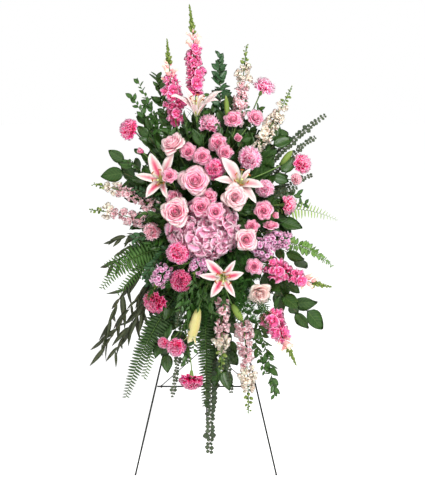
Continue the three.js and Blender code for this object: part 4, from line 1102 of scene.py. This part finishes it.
# Spray roses. Each node: root, fork, then the blooms: place, radius, facing.
sprayRoses = {
    "spray_roses_top": [onTop(40, 78), (80, 90, 1080), [
        ((90, 118, 1180), 27, (0, 1, 0.3)), ((165, 95, 1190), 26, (0.4, 1, 0.3)),
        ((105, 125, 1115), 18, (0, 1, 0.1))]],
    "spray_roses_upper": [onTop(22, 70), (15, 100, 1010), [
        ((38, 135, 1098), 29, (0, 1, 0.1)), ((62, 150, 1066), 24, (0, 1, 0.1)),
        ((-55, 150, 1068), 26, (0, 1, 0.1)), ((-12, 160, 1052), 26, (0, 1, 0.1))]],
    "spray_roses_left": [onFront(-42, 880), (-85, 115, 925), [
        ((-115, 195, 985), 22, (0, 1, 0.1)), ((-105, 140, 920), 25, (-0.4, 1, 0.2)),
        ((-215, 84, 1078), 15, (-0.6, 0.6, 0.4))]],
    "spray_roses_centre": [onFront(4, 886), (8, 130, 914), [
        ((8, 165, 922), 27, (0, 1, 0.5)), ((-14, 186, 886), 30, (0, 1, 0.1)),
        ((32, 204, 868), 28, (0, 1, 0.1))]],
    "spray_roses_right": [onFront(50, 850), (150, 110, 868), [
        ((187, 150, 876), 28, (0, 1, 0.1)), ((225, 130, 862), 15, (0.6, 1, 0))]],
    "spray_roses_low_right": [onSide(1, 74, 822), (104, 92, 818), [
        ((150, 138, 826), 22, (0, 1, 0.1)), ((212, 128, 830), 25, (0, 0.6, 1)),
        ((157, 145, 695), 25, (0, 1, 0.1))]],
}
openSpraySize, sprayDepth, sprayStemRadius = 20, 0.85, 2.0
sprayTwig = {"neck": 0.02, "count": 8, "radius": 0.0015}
for name, (root, fork, blooms) in sprayRoses.items():
    pile = []
    stem(pile, root, [], at(*fork), sprayStemRadius)
    for place, size, way in blooms:
        way = facing(*way)
        addRose(pile, place, way, size, sprayRoseForm if size > openSpraySize else budForm, "sprayRosePetals")
        sideStem(pile, fork, backOf(place, way, size, sprayDepth), way, **sprayTwig)
    stand(makeObject(name + "_bloom", pile), name, slot="spray_rose_petals")
print("spray roses made")

# Hydrangea: florets over a dome, on a small green core.
hydrangeaForm = {"middle": (-6, 112, 818), "spread": (98, 50, 84), "florets": 72, "size": 0.04,
                 "uneven": 0.18, "seed": 5, "wrap": 1.35, "inset": 12, "root": onFront(12, 806),
                 "stemRadius": 3.4,
                 "core": [(0.2, -1), (0.75, -0.7), (1, 0), (0.75, 0.7), (0.2, 1)]}
middle, spread = np.array(hydrangeaForm["middle"], float), np.array(hydrangeaForm["spread"], float)
dots, ways = [], []
for i in range(hydrangeaForm["florets"]):
    out = 1 - hydrangeaForm["wrap"] * (i + 0.5) / hydrangeaForm["florets"]
    angle, ring = i * goldenTurn, math.sqrt(1 - out * out)
    way = np.array([math.cos(angle) * ring, out, math.sin(angle) * ring])
    dots.append(at(*(middle + way * spread * draws.uniform(0.86, 1.0))).tolist())
    ways.append(facing(*(way / spread)))
mesh = bpy.data.meshes.new("hydrangeaDots")
mesh.from_pydata(dots, [], [])
mesh.attributes.new("way", "FLOAT_VECTOR", "POINT").data.foreach_set("vector", np.array(ways).ravel())
dome = evaluatedWith(trees["dome"], linked("hydrangeaFlorets", mesh), {
    "Floret": "hydrangea", "Size": hydrangeaForm["size"], "Uneven": hydrangeaForm["uneven"],
    "Seed": hydrangeaForm["seed"], "Floret Material": "hydrangeaSepals"})
pile = []
core = turned(hydrangeaForm["core"], 12)
inner = spread - hydrangeaForm["inset"]
core["points"] = np.array([tilted(*point) for point in core["points"] * inner / 1000])
add(pile, core, "greenStems", at(*middle))
stem(pile, hydrangeaForm["root"], [], at(*middle), hydrangeaForm["stemRadius"])
stand(joined("hydrangea_bloom", [makeObject("hydrangeaCore", pile), dome]), "hydrangea",
      slot="hydrangea_petals")
print("hydrangea made")

# Flower spikes: how each kind of floret or bud stands on its stalk.
stalk = {"Stem Radius": 0.0021, "Stem Taper": 0.25, "Stem Material": "greenStems", "Turn": 137.5,
         "Flatness": 0.0}
floretKeys = ("Leaf", "Leaf Material", "Spacing", "Size", "Base Share", "Peak", "Tip Share", "Angle",
              "Tip Angle", "Lift", "Uneven")
floretRules = {
    "openSnap": ["snap", "snapdragonPetals", 0.0056, 0.039, 0.8, 0.3, 0.72, 72.0, 52.0, 0.004, 0.3],
    "tubeSnap": ["snapTube", "snapdragonPaleFlowers", 0.0052, 0.034, 0.8, 0.3, 0.55, 55.0, 40.0, 0.004, 0.3],
    "greenTip": ["bud", "greenBuds", 0.0034, 0.0165, 1.0, 0.1, 0.35, 55.0, 20.0, 0.0, 0.12],
    "openLark": ["lark", "larkspurPetals", 0.0029, 0.0275, 0.8, 0.3, 0.7, 76.0, 56.0, 0.007, 0.44],
    "paleLark": ["lark", "larkspurCreamPetals", 0.0036, 0.0265, 0.8, 0.3, 0.7, 76.0, 56.0, 0.007, 0.44],
    "slimLark": ["lark", "larkspurPetals", 0.0028, 0.024, 0.8, 0.3, 0.7, 76.0, 56.0, 0.007, 0.44],
    "larkTip": ["bud", "greenBuds", 0.0052, 0.016, 1.0, 0.1, 0.35, 75.0, 50.0, 0.003, 0.3],
    "openStock": ["stock", "stockPetals", 0.0012, 0.0205, 0.8, 0.3, 0.75, 78.0, 40.0, 0.019, 0.2],
    "stockTip": ["bud", "greenBuds", 0.003, 0.011, 1.0, 0.1, 0.35, 55.0, 20.0, 0.0, 0.12],
}
# Each spike's stretches, from its foot to its tip: from, to, rule.
spikeKinds = {
    "snapdragon": [(0.0, 0.52, "openSnap"), (0.52, 0.7, "tubeSnap"), (0.7, 1.0, "greenTip")],
    "larkspur": [(0.0, 0.5, "openLark"), (0.5, 0.77, "paleLark"), (0.77, 1.0, "larkTip")],
    "creamLarkspur": [(0.0, 0.74, "paleLark"), (0.74, 1.0, "larkTip")],
    "slimLarkspur": [(0.0, 0.66, "slimLark"), (0.66, 0.8, "paleLark"), (0.8, 1.0, "larkTip")],
    "stock": [(0.0, 0.85, "openStock"), (0.85, 1.0, "stockTip")],
}
# Each: root, fork, slot, then each spike's foot, middle, tip and kind.
spikes = {
    "snapdragons_top": [onTop(-20, 62), (-26, 72, 1020), "snapdragon_petals", [
        ((-34, 82, 1262), (-38, 84, 1420), (-55, 70, 1570), "snapdragon"),
        ((-100, 92, 1175), (-118, 92, 1320), (-130, 70, 1455), "snapdragon")]],
    "snapdragons_right": [onSide(1, 54, 732), (125, 72, 695), "snapdragon_petals", [
        ((200, 108, 700), (315, 112, 650), (410, 88, 630), "snapdragon"),
        ((202, 74, 545), (252, 96, 465), (295, 78, 375), "snapdragon")]],
    "larkspur_top": [onTop(26, 58), (45, 72, 1020), "larkspur_petals", [
        ((100, 88, 1165), (122, 84, 1300), (135, 70, 1435), "larkspur"),
        ((165, 82, 1080), (232, 84, 1185), (285, 62, 1295), "creamLarkspur")]],
    "larkspur_left": [onSide(-1, 62, 855), (-110, 76, 858), "larkspur_petals", [
        ((-165, 88, 890), (-265, 88, 945), (-375, 62, 970), "slimLarkspur"),
        ((-200, 82, 842), (-290, 80, 872), (-385, 60, 885), "slimLarkspur")]],
    "larkspur_hanging": [onBottom(14, 66), (35, 80, 670), "larkspur_petals", [
        ((52, 100, 590), (54, 104, 475), (50, 92, 355), "larkspur"),
        ((122, 98, 515), (136, 100, 370), (140, 75, 215), "larkspur")]],
    "stock_left": [onFront(-20, 742), (-60, 105, 705), "stock_petals", [
        ((-130, 100, 690), (-150, 118, 660), (-165, 125, 625), "stock"),
        ((-12, 112, 715), (-26, 130, 692), (-38, 140, 665), "stock")]],
    "stock_right": [onSide(1, 70, 763), (130, 92, 768), "stock_petals", [
        ((162, 104, 768), (190, 118, 748), (215, 120, 722), "stock"),
        ((195, 88, 780), (245, 98, 785), (288, 96, 775), "stock")]],
}
spikeSteps, spikeStemRadius, spikeTwigRadius = 30, 2.6, 0.0021
for name, (root, fork, slot, members) in spikes.items():
    pile, paths = [], {}
    stem(pile, root, [], at(*fork), spikeStemRadius)
    for foot, middle, tip, kind in members:
        a, b, c = [np.array(place, float) for place in (foot, middle, tip)]
        line = bent([a, a + (b - a) * 0.75, b + (b - a) * 0.2, c], spikeSteps + 1)
        start, before = at(*fork), at(*(a - (b - a) * 0.3))
        near = at(*(a - (b - a) * 0.12))
        twig(pile, [start, start * 0.5 + before * 0.5, near, at(*a)], 10, spikeTwigRadius)
        for low, high, rule in spikeKinds[kind]:
            paths.setdefault(rule, []).append(line[int(low * spikeSteps):int(high * spikeSteps) + 1])
    things = [makeObject(name + "Stems", pile)]
    for number, (rule, lines) in enumerate(paths.items()):
        values = dict(stalk, Seed=number + len(name), **dict(zip(floretKeys, floretRules[rule])))
        things.append(grow(name + str(number), lines, values))
    stand(joined(name + "_bloom", things), name, slot=slot)
print("spikes made")

# Foliage: how each kind of leaf stands on its stem. A row without a droop has none.
leafKeys = ("Leaf", "Leaf Material", "Spacing", "From", "Size", "Base Share", "Peak", "Tip Share", "Angle",
            "Tip Angle", "Turn", "Flatness", "Uneven", "Stem Radius", "Stem Taper", "Droop")
leafRows = {
    "sword": ["pinna", "swordFernLeaflets", 0.0052, 0.02, 0.042, 0.8, 0.35, 0.3, 90.0, 70.0, 180.0, 1.0, 0.05,
              0.0012, 0.6],
    "lime": ["limePinna", "limeFernLeaflets", 0.0056, 0.02, 0.036, 0.75, 0.35, 0.2, 84.0, 66.0, 180.0, 0.8,
             0.1, 0.0011, 0.6],
    "ruffled": ["small", "brightLeaves", 0.0034, 0.02, 0.025, 0.9, 0.3, 0.3, 70.0, 50.0, 180.0, 0.7, 0.25,
                0.0011, 0.6],
    "myrtle": ["small", "myrtleLeaves", 0.0052, 0.0, 0.034, 0.85, 0.4, 0.7, 62.0, 36.0, 180.0, 0.85, 0.3,
               0.0014, 0.4],
    "huckleberry": ["small", "glossyLeaves", 0.0095, 0.02, 0.034, 0.9, 0.4, 0.7, 62.0, 40.0, 180.0, 0.7, 0.35,
                    0.0013, 0.4],
    "gum": ["gumPair", "eucalyptusLeaves", 0.0125, 0.0, 0.021, 0.9, 0.4, 0.6, 0.0, 0.0, 0.0, 0.4, 0.24,
            0.0014, 0.4],
    "willow": ["willow", "willowEucalyptusLeaves", 0.018, 0.03, 0.082, 0.9, 0.4, 0.7, 34.0, 16.0, 180.0, 0.8,
               0.36, 0.0013, 0.5, 0.4],
    "salal": ["salal", "salalLeaves", 0.034, 0.05, 0.074, 0.9, 0.5, 0.85, 60.0, 22.0, 174.0, 0.95, 0.25,
              0.0019, 0.4, 0.12],
    "glossy": ["glossy", "glossyLeaves", 0.011, 0.05, 0.04, 0.85, 0.5, 0.7, 58.0, 28.0, 150.0, 0.7, 0.35,
               0.0013, 0.4, 0.15],
    "plume": ["plume", "plumosusNeedles", 0.0125, 0.1, 0.062, 0.8, 0.4, 0.6, 52.0, 24.0, 165.0, 0.8, 0.35,
              0.0011, 0.5],
    "grassy": ["grassy", "glossyLeaves", 0.0085, 0.3, 0.075, 0.9, 0.6, 0.6, 55.0, 25.0, 137.5, 0.2, 0.25,
               0.002, 0.2, 0.1],
}
woodyKinds = ("gum", "willow", "myrtle", "salal")
leafSlots = {"sword": "fern_leaf", "lime": "fern_leaf", "ruffled": "fern_leaf", "plume": "fern_leaf",
             "gum": "eucalyptus_leaf", "willow": "eucalyptus_leaf"}
leafRules = {}
for kind, row in leafRows.items():
    leafRules[kind] = dict(zip(leafKeys, row))
    leafRules[kind]["Stem Material"] = "twigs" if kind in woodyKinds else "greenStems"


def growLeaves(name, kind, paths, seed, changes):
    return grow(name, paths, dict(leafRules[kind], Seed=seed, **changes))


def slotOf(kind):
    return leafSlots.get(kind, "shrub_leaf")


frondPoints, frondStemRadius, foliageSeed = 24, 1.7, 3
# Each node: rule, root, the four points its path bends by, then values that differ.
foliage = {
    "fern_left": ["sword", onSide(-1, 40, 785), [
        (-120, 62, 765), (-240, 75, 740), (-300, 60, 690), (-345, 45, 625)], {}],
    # The two fronds under the foam take the darker fern leaflets, painted shade.
    "fern_low_left": ["sword", onBottom(-40, 40), [
        (-95, 62, 610), (-160, 75, 520), (-225, 70, 400), (-265, 45, 265)], {
            "Leaf Material": "centreFernLeaflets"}],
    "fern_centre": ["sword", onBottom(0, 40), [(0, 60, 600), (0, 75, 480), (0, 75, 340), (0, 55, 235)], {
        "Size": 0.035, "Spacing": 0.0046, "Tip Share": 0.4, "Leaf Material": "centreFernLeaflets"}],
    "fern_right": ["lime", onSide(1, 40, 868), [
        (200, 58, 885), (290, 68, 895), (370, 60, 885), (440, 35, 852)], {}],
    "fern_low_right": ["ruffled", onSide(1, 40, 805), [
        (260, 58, 775), (320, 62, 770), (370, 55, 745), (420, 35, 700)], {}],
    "myrtle_top": ["myrtle", onTop(10, 42), [
        (50, 58, 1180), (50, 60, 1260), (46, 60, 1330), (45, 55, 1405)], {}],
    "myrtle_left": ["huckleberry", onTop(-38, 40), [
        (-105, 50, 1120), (-140, 52, 1200), (-155, 50, 1270), (-165, 45, 1335)], {
            "Size": 0.04, "Spacing": 0.0085}],
    "huckleberry_low": ["huckleberry", onBottom(30, 42), [
        (150, 66, 560), (190, 68, 470), (215, 66, 380), (225, 60, 275)], {"Spacing": 0.008}],
    "eucalyptus_right": ["gum", onSide(1, 32, 905), [
        (205, 38, 1040), (270, 42, 1100), (335, 42, 1160), (400, 38, 1205)], {"Size": 0.0175}],
    "eucalyptus_low": ["gum", onBottom(14, 32), [(16, 42, 400), (18, 48, 300), (14, 48, 190), (12, 45, 85)], {
        "Size": 0.026, "Spacing": 0.0135}],
    "willow_eucalyptus": ["willow", onSide(-1, 32, 748), [
        (-150, 38, 730), (-250, 45, 680), (-310, 42, 580), (-345, 35, 440)], {}],
    "salal_left": ["salal", onSide(-1, 42, 912), [
        (-95, 46, 965), (-130, 52, 1030), (-165, 52, 1090), (-195, 45, 1170)], {}],
    "salal_far_left": ["salal", onSide(-1, 42, 885), [
        (-120, 46, 925), (-170, 50, 960), (-220, 50, 985), (-275, 42, 1010)], {
            "Size": 0.088, "Spacing": 0.042}],
    "salal_upper_right": ["salal", onSide(1, 42, 930), [
        (115, 48, 1015), (160, 54, 1060), (200, 54, 1095), (245, 45, 1140)], {}],
    "salal_low_right": ["salal", onBottom(48, 42), [
        (190, 50, 620), (240, 52, 600), (285, 50, 580), (335, 45, 550)], {"Spacing": 0.048, "Size": 0.086}],
    "salal_low": ["salal", onBottom(-16, 42), [
        (-70, 40, 560), (-90, 44, 520), (-110, 44, 470), (-130, 36, 405)], {}],
}
for number, (name, (kind, root, points, changes)) in enumerate(foliage.items()):
    pile = []
    stem(pile, root, [], at(*points[0]), frondStemRadius, leafRules[kind]["Stem Material"])
    leafy = growLeaves(name + "Leaves", kind, [bent(points, frondPoints)], foliageSeed + number,
                       changes)
    stand(joined(name + "_leaves", [makeObject(name + "Stem", pile), leafy]), name, slot=slotOf(kind))
print("foliage made")

# Greenery between the blooms: branches that fan out from the foam, in layers.
foamMiddle, foamHalf = np.array([0.0, 46, 835]), np.array([48.0, 32, 108])
branchPoints = 16


# A branch from the foam to a tip, all in millimetres on the leaning frame.
def branchTo(tip, sag):
    end = np.array(tip, float)
    way = (end - foamMiddle) * (1, 0.6, 0.7)
    start = foamMiddle + way * np.min(foamHalf / np.maximum(np.abs(way), 1e-3)) * 0.8
    length = np.linalg.norm(end - start)
    first = start + way / np.linalg.norm(way) * length * 0.4
    second = start * 0.35 + end * 0.65 + np.array([0, 10, sag * length])
    return bent([start, first, second, end], branchPoints)


# How far the greenery reaches from the foam's middle, in millimetres.
fillReach = {"left": 240, "right": 255, "up": 385, "down": 385}


def fanTip(turn, share, out):
    wide = fillReach["right" if math.cos(turn) > 0 else "left"]
    high = fillReach["up" if math.sin(turn) > 0 else "down"]
    return (foamMiddle[0] + wide * math.cos(turn) * share, out, foamMiddle[2] + high * math.sin(turn) * share)


# Steps that spread the branches evenly: from layer to layer, over the reach and over the distance out.
layerTurn, shareStep, outStep = 0.9, 0.618, 0.377
fillSag, fillSeed = 0.08, 50
# Each: rule, branches, shares of the reach, distances out, values that differ.
fills = {
    "salal_fill_back": ["salal", 60, (0.6, 1.0), (10, 66), {
        "Droop": 0.05, "Size": 0.068, "Spacing": 0.025, "From": 0.3}],
    "salal_fill_middle": ["salal", 40, (0.35, 0.85), (70, 118), {
        "Leaf": "salalLong", "Size": 0.056, "Spacing": 0.022, "From": 0.2}],
    "glossy_fill": ["glossy", 46, (0.35, 0.95), (80, 135), {"From": 0.2}],
    "myrtle_fill": ["myrtle", 40, (0.5, 1.02), (55, 115), {"Spacing": 0.007, "Size": 0.028, "From": 0.35}],
    "plume_fill": ["plume", 26, (0.35, 0.95), (70, 125), {"From": 0.25}],
    "fern_fill": ["sword", 18, (0.6, 1.0), (40, 90), {"From": 0.3}],
}
for number, (name, (kind, count, shares, outs, changes)) in enumerate(fills.items()):
    paths = []
    for i in range(count):
        turn = i * goldenTurn + number * layerTurn + draws.uniform(-0.1, 0.1)
        share = shares[0] + (shares[1] - shares[0]) * ((i * shareStep) % 1)
        out = outs[0] + (outs[1] - outs[0]) * ((i * outStep) % 1)
        paths.append(branchTo(fanTip(turn, share, out), fillSag))
    stand(growLeaves(name, kind, paths, fillSeed + number, changes), slot=slotOf(kind))

sprigSag, sprigSeed = 0.06, 80
# Sprigs that stand out from the rest. Each: rule, values that differ, the places of their tips.
sprigs = {
    "salal_sprigs": ["salal", {"From": 0.5, "Size": 0.08, "Spacing": 0.032}, [
        (-272, 50, 1052), (-240, 46, 985), (-190, 60, 1130), (-200, 50, 1180), (225, 60, 1100),
        (250, 80, 1010), (300, 62, 728), (272, 60, 640), (300, 58, 545), (-145, 44, 455), (66, 46, 392),
        (84, 46, 420), (58, 46, 352), (28, 44, 372), (248, 56, 844), (236, 48, 818), (20, 60, 1210),
        (85, 66, 1220), (-60, 60, 1150), (-228, 50, 925), (-210, 46, 1070)]],
    "huckleberry_sprigs": ["huckleberry", {"From": 0.45}, [
        (-228, 52, 1318), (-245, 50, 1262), (-192, 58, 1240), (-150, 60, 1250), (137, 62, 1236),
        (176, 62, 1222), (-8, 74, 1272), (300, 70, 935), (330, 66, 905), (-66, 72, 385), (-40, 70, 425),
        (195, 62, 345), (-262, 60, 1050)]],
    "willow_sprigs": ["willow", {"From": 0.35}, [(-335, 44, 430), (-300, 50, 415), (-245, 60, 500)]],
    "willow_upper_sprigs": ["willow", {
        "From": 0.35, "Leaf": "willowShort", "Size": 0.05, "Spacing": 0.013, "Angle": 50.0, "Tip Angle": 28.0,
        "Droop": 0.3}, [(-306, 44, 786), (-300, 48, 738), (-322, 46, 700)]],
    "gum_sprigs": ["gum", {"From": 0.5, "Size": 0.018, "Spacing": 0.0105}, [
        (365, 44, 1130), (352, 50, 1000), (-110, 56, 268), (84, 56, 282), (-58, 56, 385), (-95, 92, 500),
        (-225, 84, 868), (300, 80, 955)]],
    "plume_sprigs": ["plume", {"From": 0.35}, [
        (118, 122, 640), (172, 112, 600), (150, 112, 540), (112, 118, 560), (192, 104, 520), (150, 130, 700),
        (95, 130, 610)]],
    "glossy_sprigs": ["glossy", {"From": 0.45}, [
        (-42, 150, 618), (0, 150, 596), (62, 150, 560), (92, 84, 540), (-22, 140, 566), (20, 140, 540),
        (-80, 130, 560), (-60, 120, 500)]],
    "grassy_sprigs": ["grassy", {"From": 0.45}, [(-36, 96, 1196), (-70, 90, 1180), (-10, 100, 1170)]],
    "fern_sprigs": ["sword", {"From": 0.3}, [(-330, 50, 700), (-292, 60, 610), (-205, 50, 330)]],
}
for number, (name, (kind, changes, tips)) in enumerate(sprigs.items()):
    paths = [branchTo(tip, sprigSag) for tip in tips]
    stand(growLeaves(name, kind, paths, sprigSeed + number, changes), slot=slotOf(kind))
print("greenery made")

# The easel, cage, ties and foam keep their shapes and get their finish here.
finishes = {
    "wirePaint": ["front_leg_left", "front_leg_right", "cross_bar", "hinge_bar", "rear_leg", "brace"],
    "cagePlastic": ["foam_cage"], "tiePlastic": ["cage_tie_left", "cage_tie_right"],
    "wetFoam": ["floral_foam"]}
for material, names in finishes.items():
    for name in names:
        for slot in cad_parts[name].material_slots:
            slot.material = bpy.data.materials[material]
for thing in patterns.values():
    bpy.data.objects.remove(thing)
print("finishes set")

# Floor, light and camera.
studio = {"floorHalf": 30, "floorGlow": 0.32, "sky": 0.74, "cameraHeight": 1.28, "cameraBack": 3.0,
          "cameraAside": 0.022, "cameraDown": 9.45, "lens": 69.57}
floorMesh = bpy.data.meshes.new("studioFloor")
floorMesh.from_pydata([(studio["floorHalf"] * x, studio["floorHalf"] * y, 0)
                       for x, y in ((-1, -1), (1, -1), (1, 1), (-1, 1))], [], [(0, 1, 2, 3)])
floor = linked("studioFloor", floorMesh)
paper = bpy.data.materials.new("paleFloor")
paper.use_nodes = True
setInputs(paper.node_tree.nodes["Principled BSDF"], {
    "Base Color": (0.93, 0.93, 0.93, 1), "Roughness": 0.9, "Emission Color": (1, 1, 1, 1),
    "Emission Strength": studio["floorGlow"]})
floorMesh.materials.append(paper)

# Each light: place, the point it faces, diameter and power.
lights = {"keyLight": [(1.5, -2.6, 2.7), (0, -0.1, 0.9), 1.1, 135.0],
          "fillLight": [(-2.2, -2.4, 1.4), (0, -0.1, 0.85), 1.8, 26.0]}
for name, (place, target, size, power) in lights.items():
    lamp = bpy.data.lights.new(name, "AREA")
    lamp.shape, lamp.size, lamp.energy = "DISK", size, power
    thing = linked(name, lamp)
    thing.location = place
    thing.rotation_euler = Matrix(basis(np.array(place) - np.array(target)).tolist()).to_euler()
world = bpy.data.worlds.new("studio")
world.use_nodes = True
seen = wire(world.node_tree, "ShaderNodeLightPath", None, "Is Camera Ray")
setInputs(world.node_tree.nodes["Background"], {
    "Color": (1, 1, 1, 1), "Strength": seen * (1.0 - studio["sky"]) + studio["sky"]})
bpy.context.scene.world = world
bpy.context.scene.view_settings.view_transform = "Standard"

lensData = bpy.data.cameras.new("viewCamera")
lensData.lens, lensData.sensor_width = studio["lens"], 36.0
camera = linked("viewCamera", lensData)
camera.location = (studio["cameraAside"] + shift[0], shift[1] - studio["cameraBack"], studio["cameraHeight"])
camera.rotation_euler = (math.radians(90 - studio["cameraDown"]), 0, 0)
bpy.context.scene.camera = camera
print("studio set")
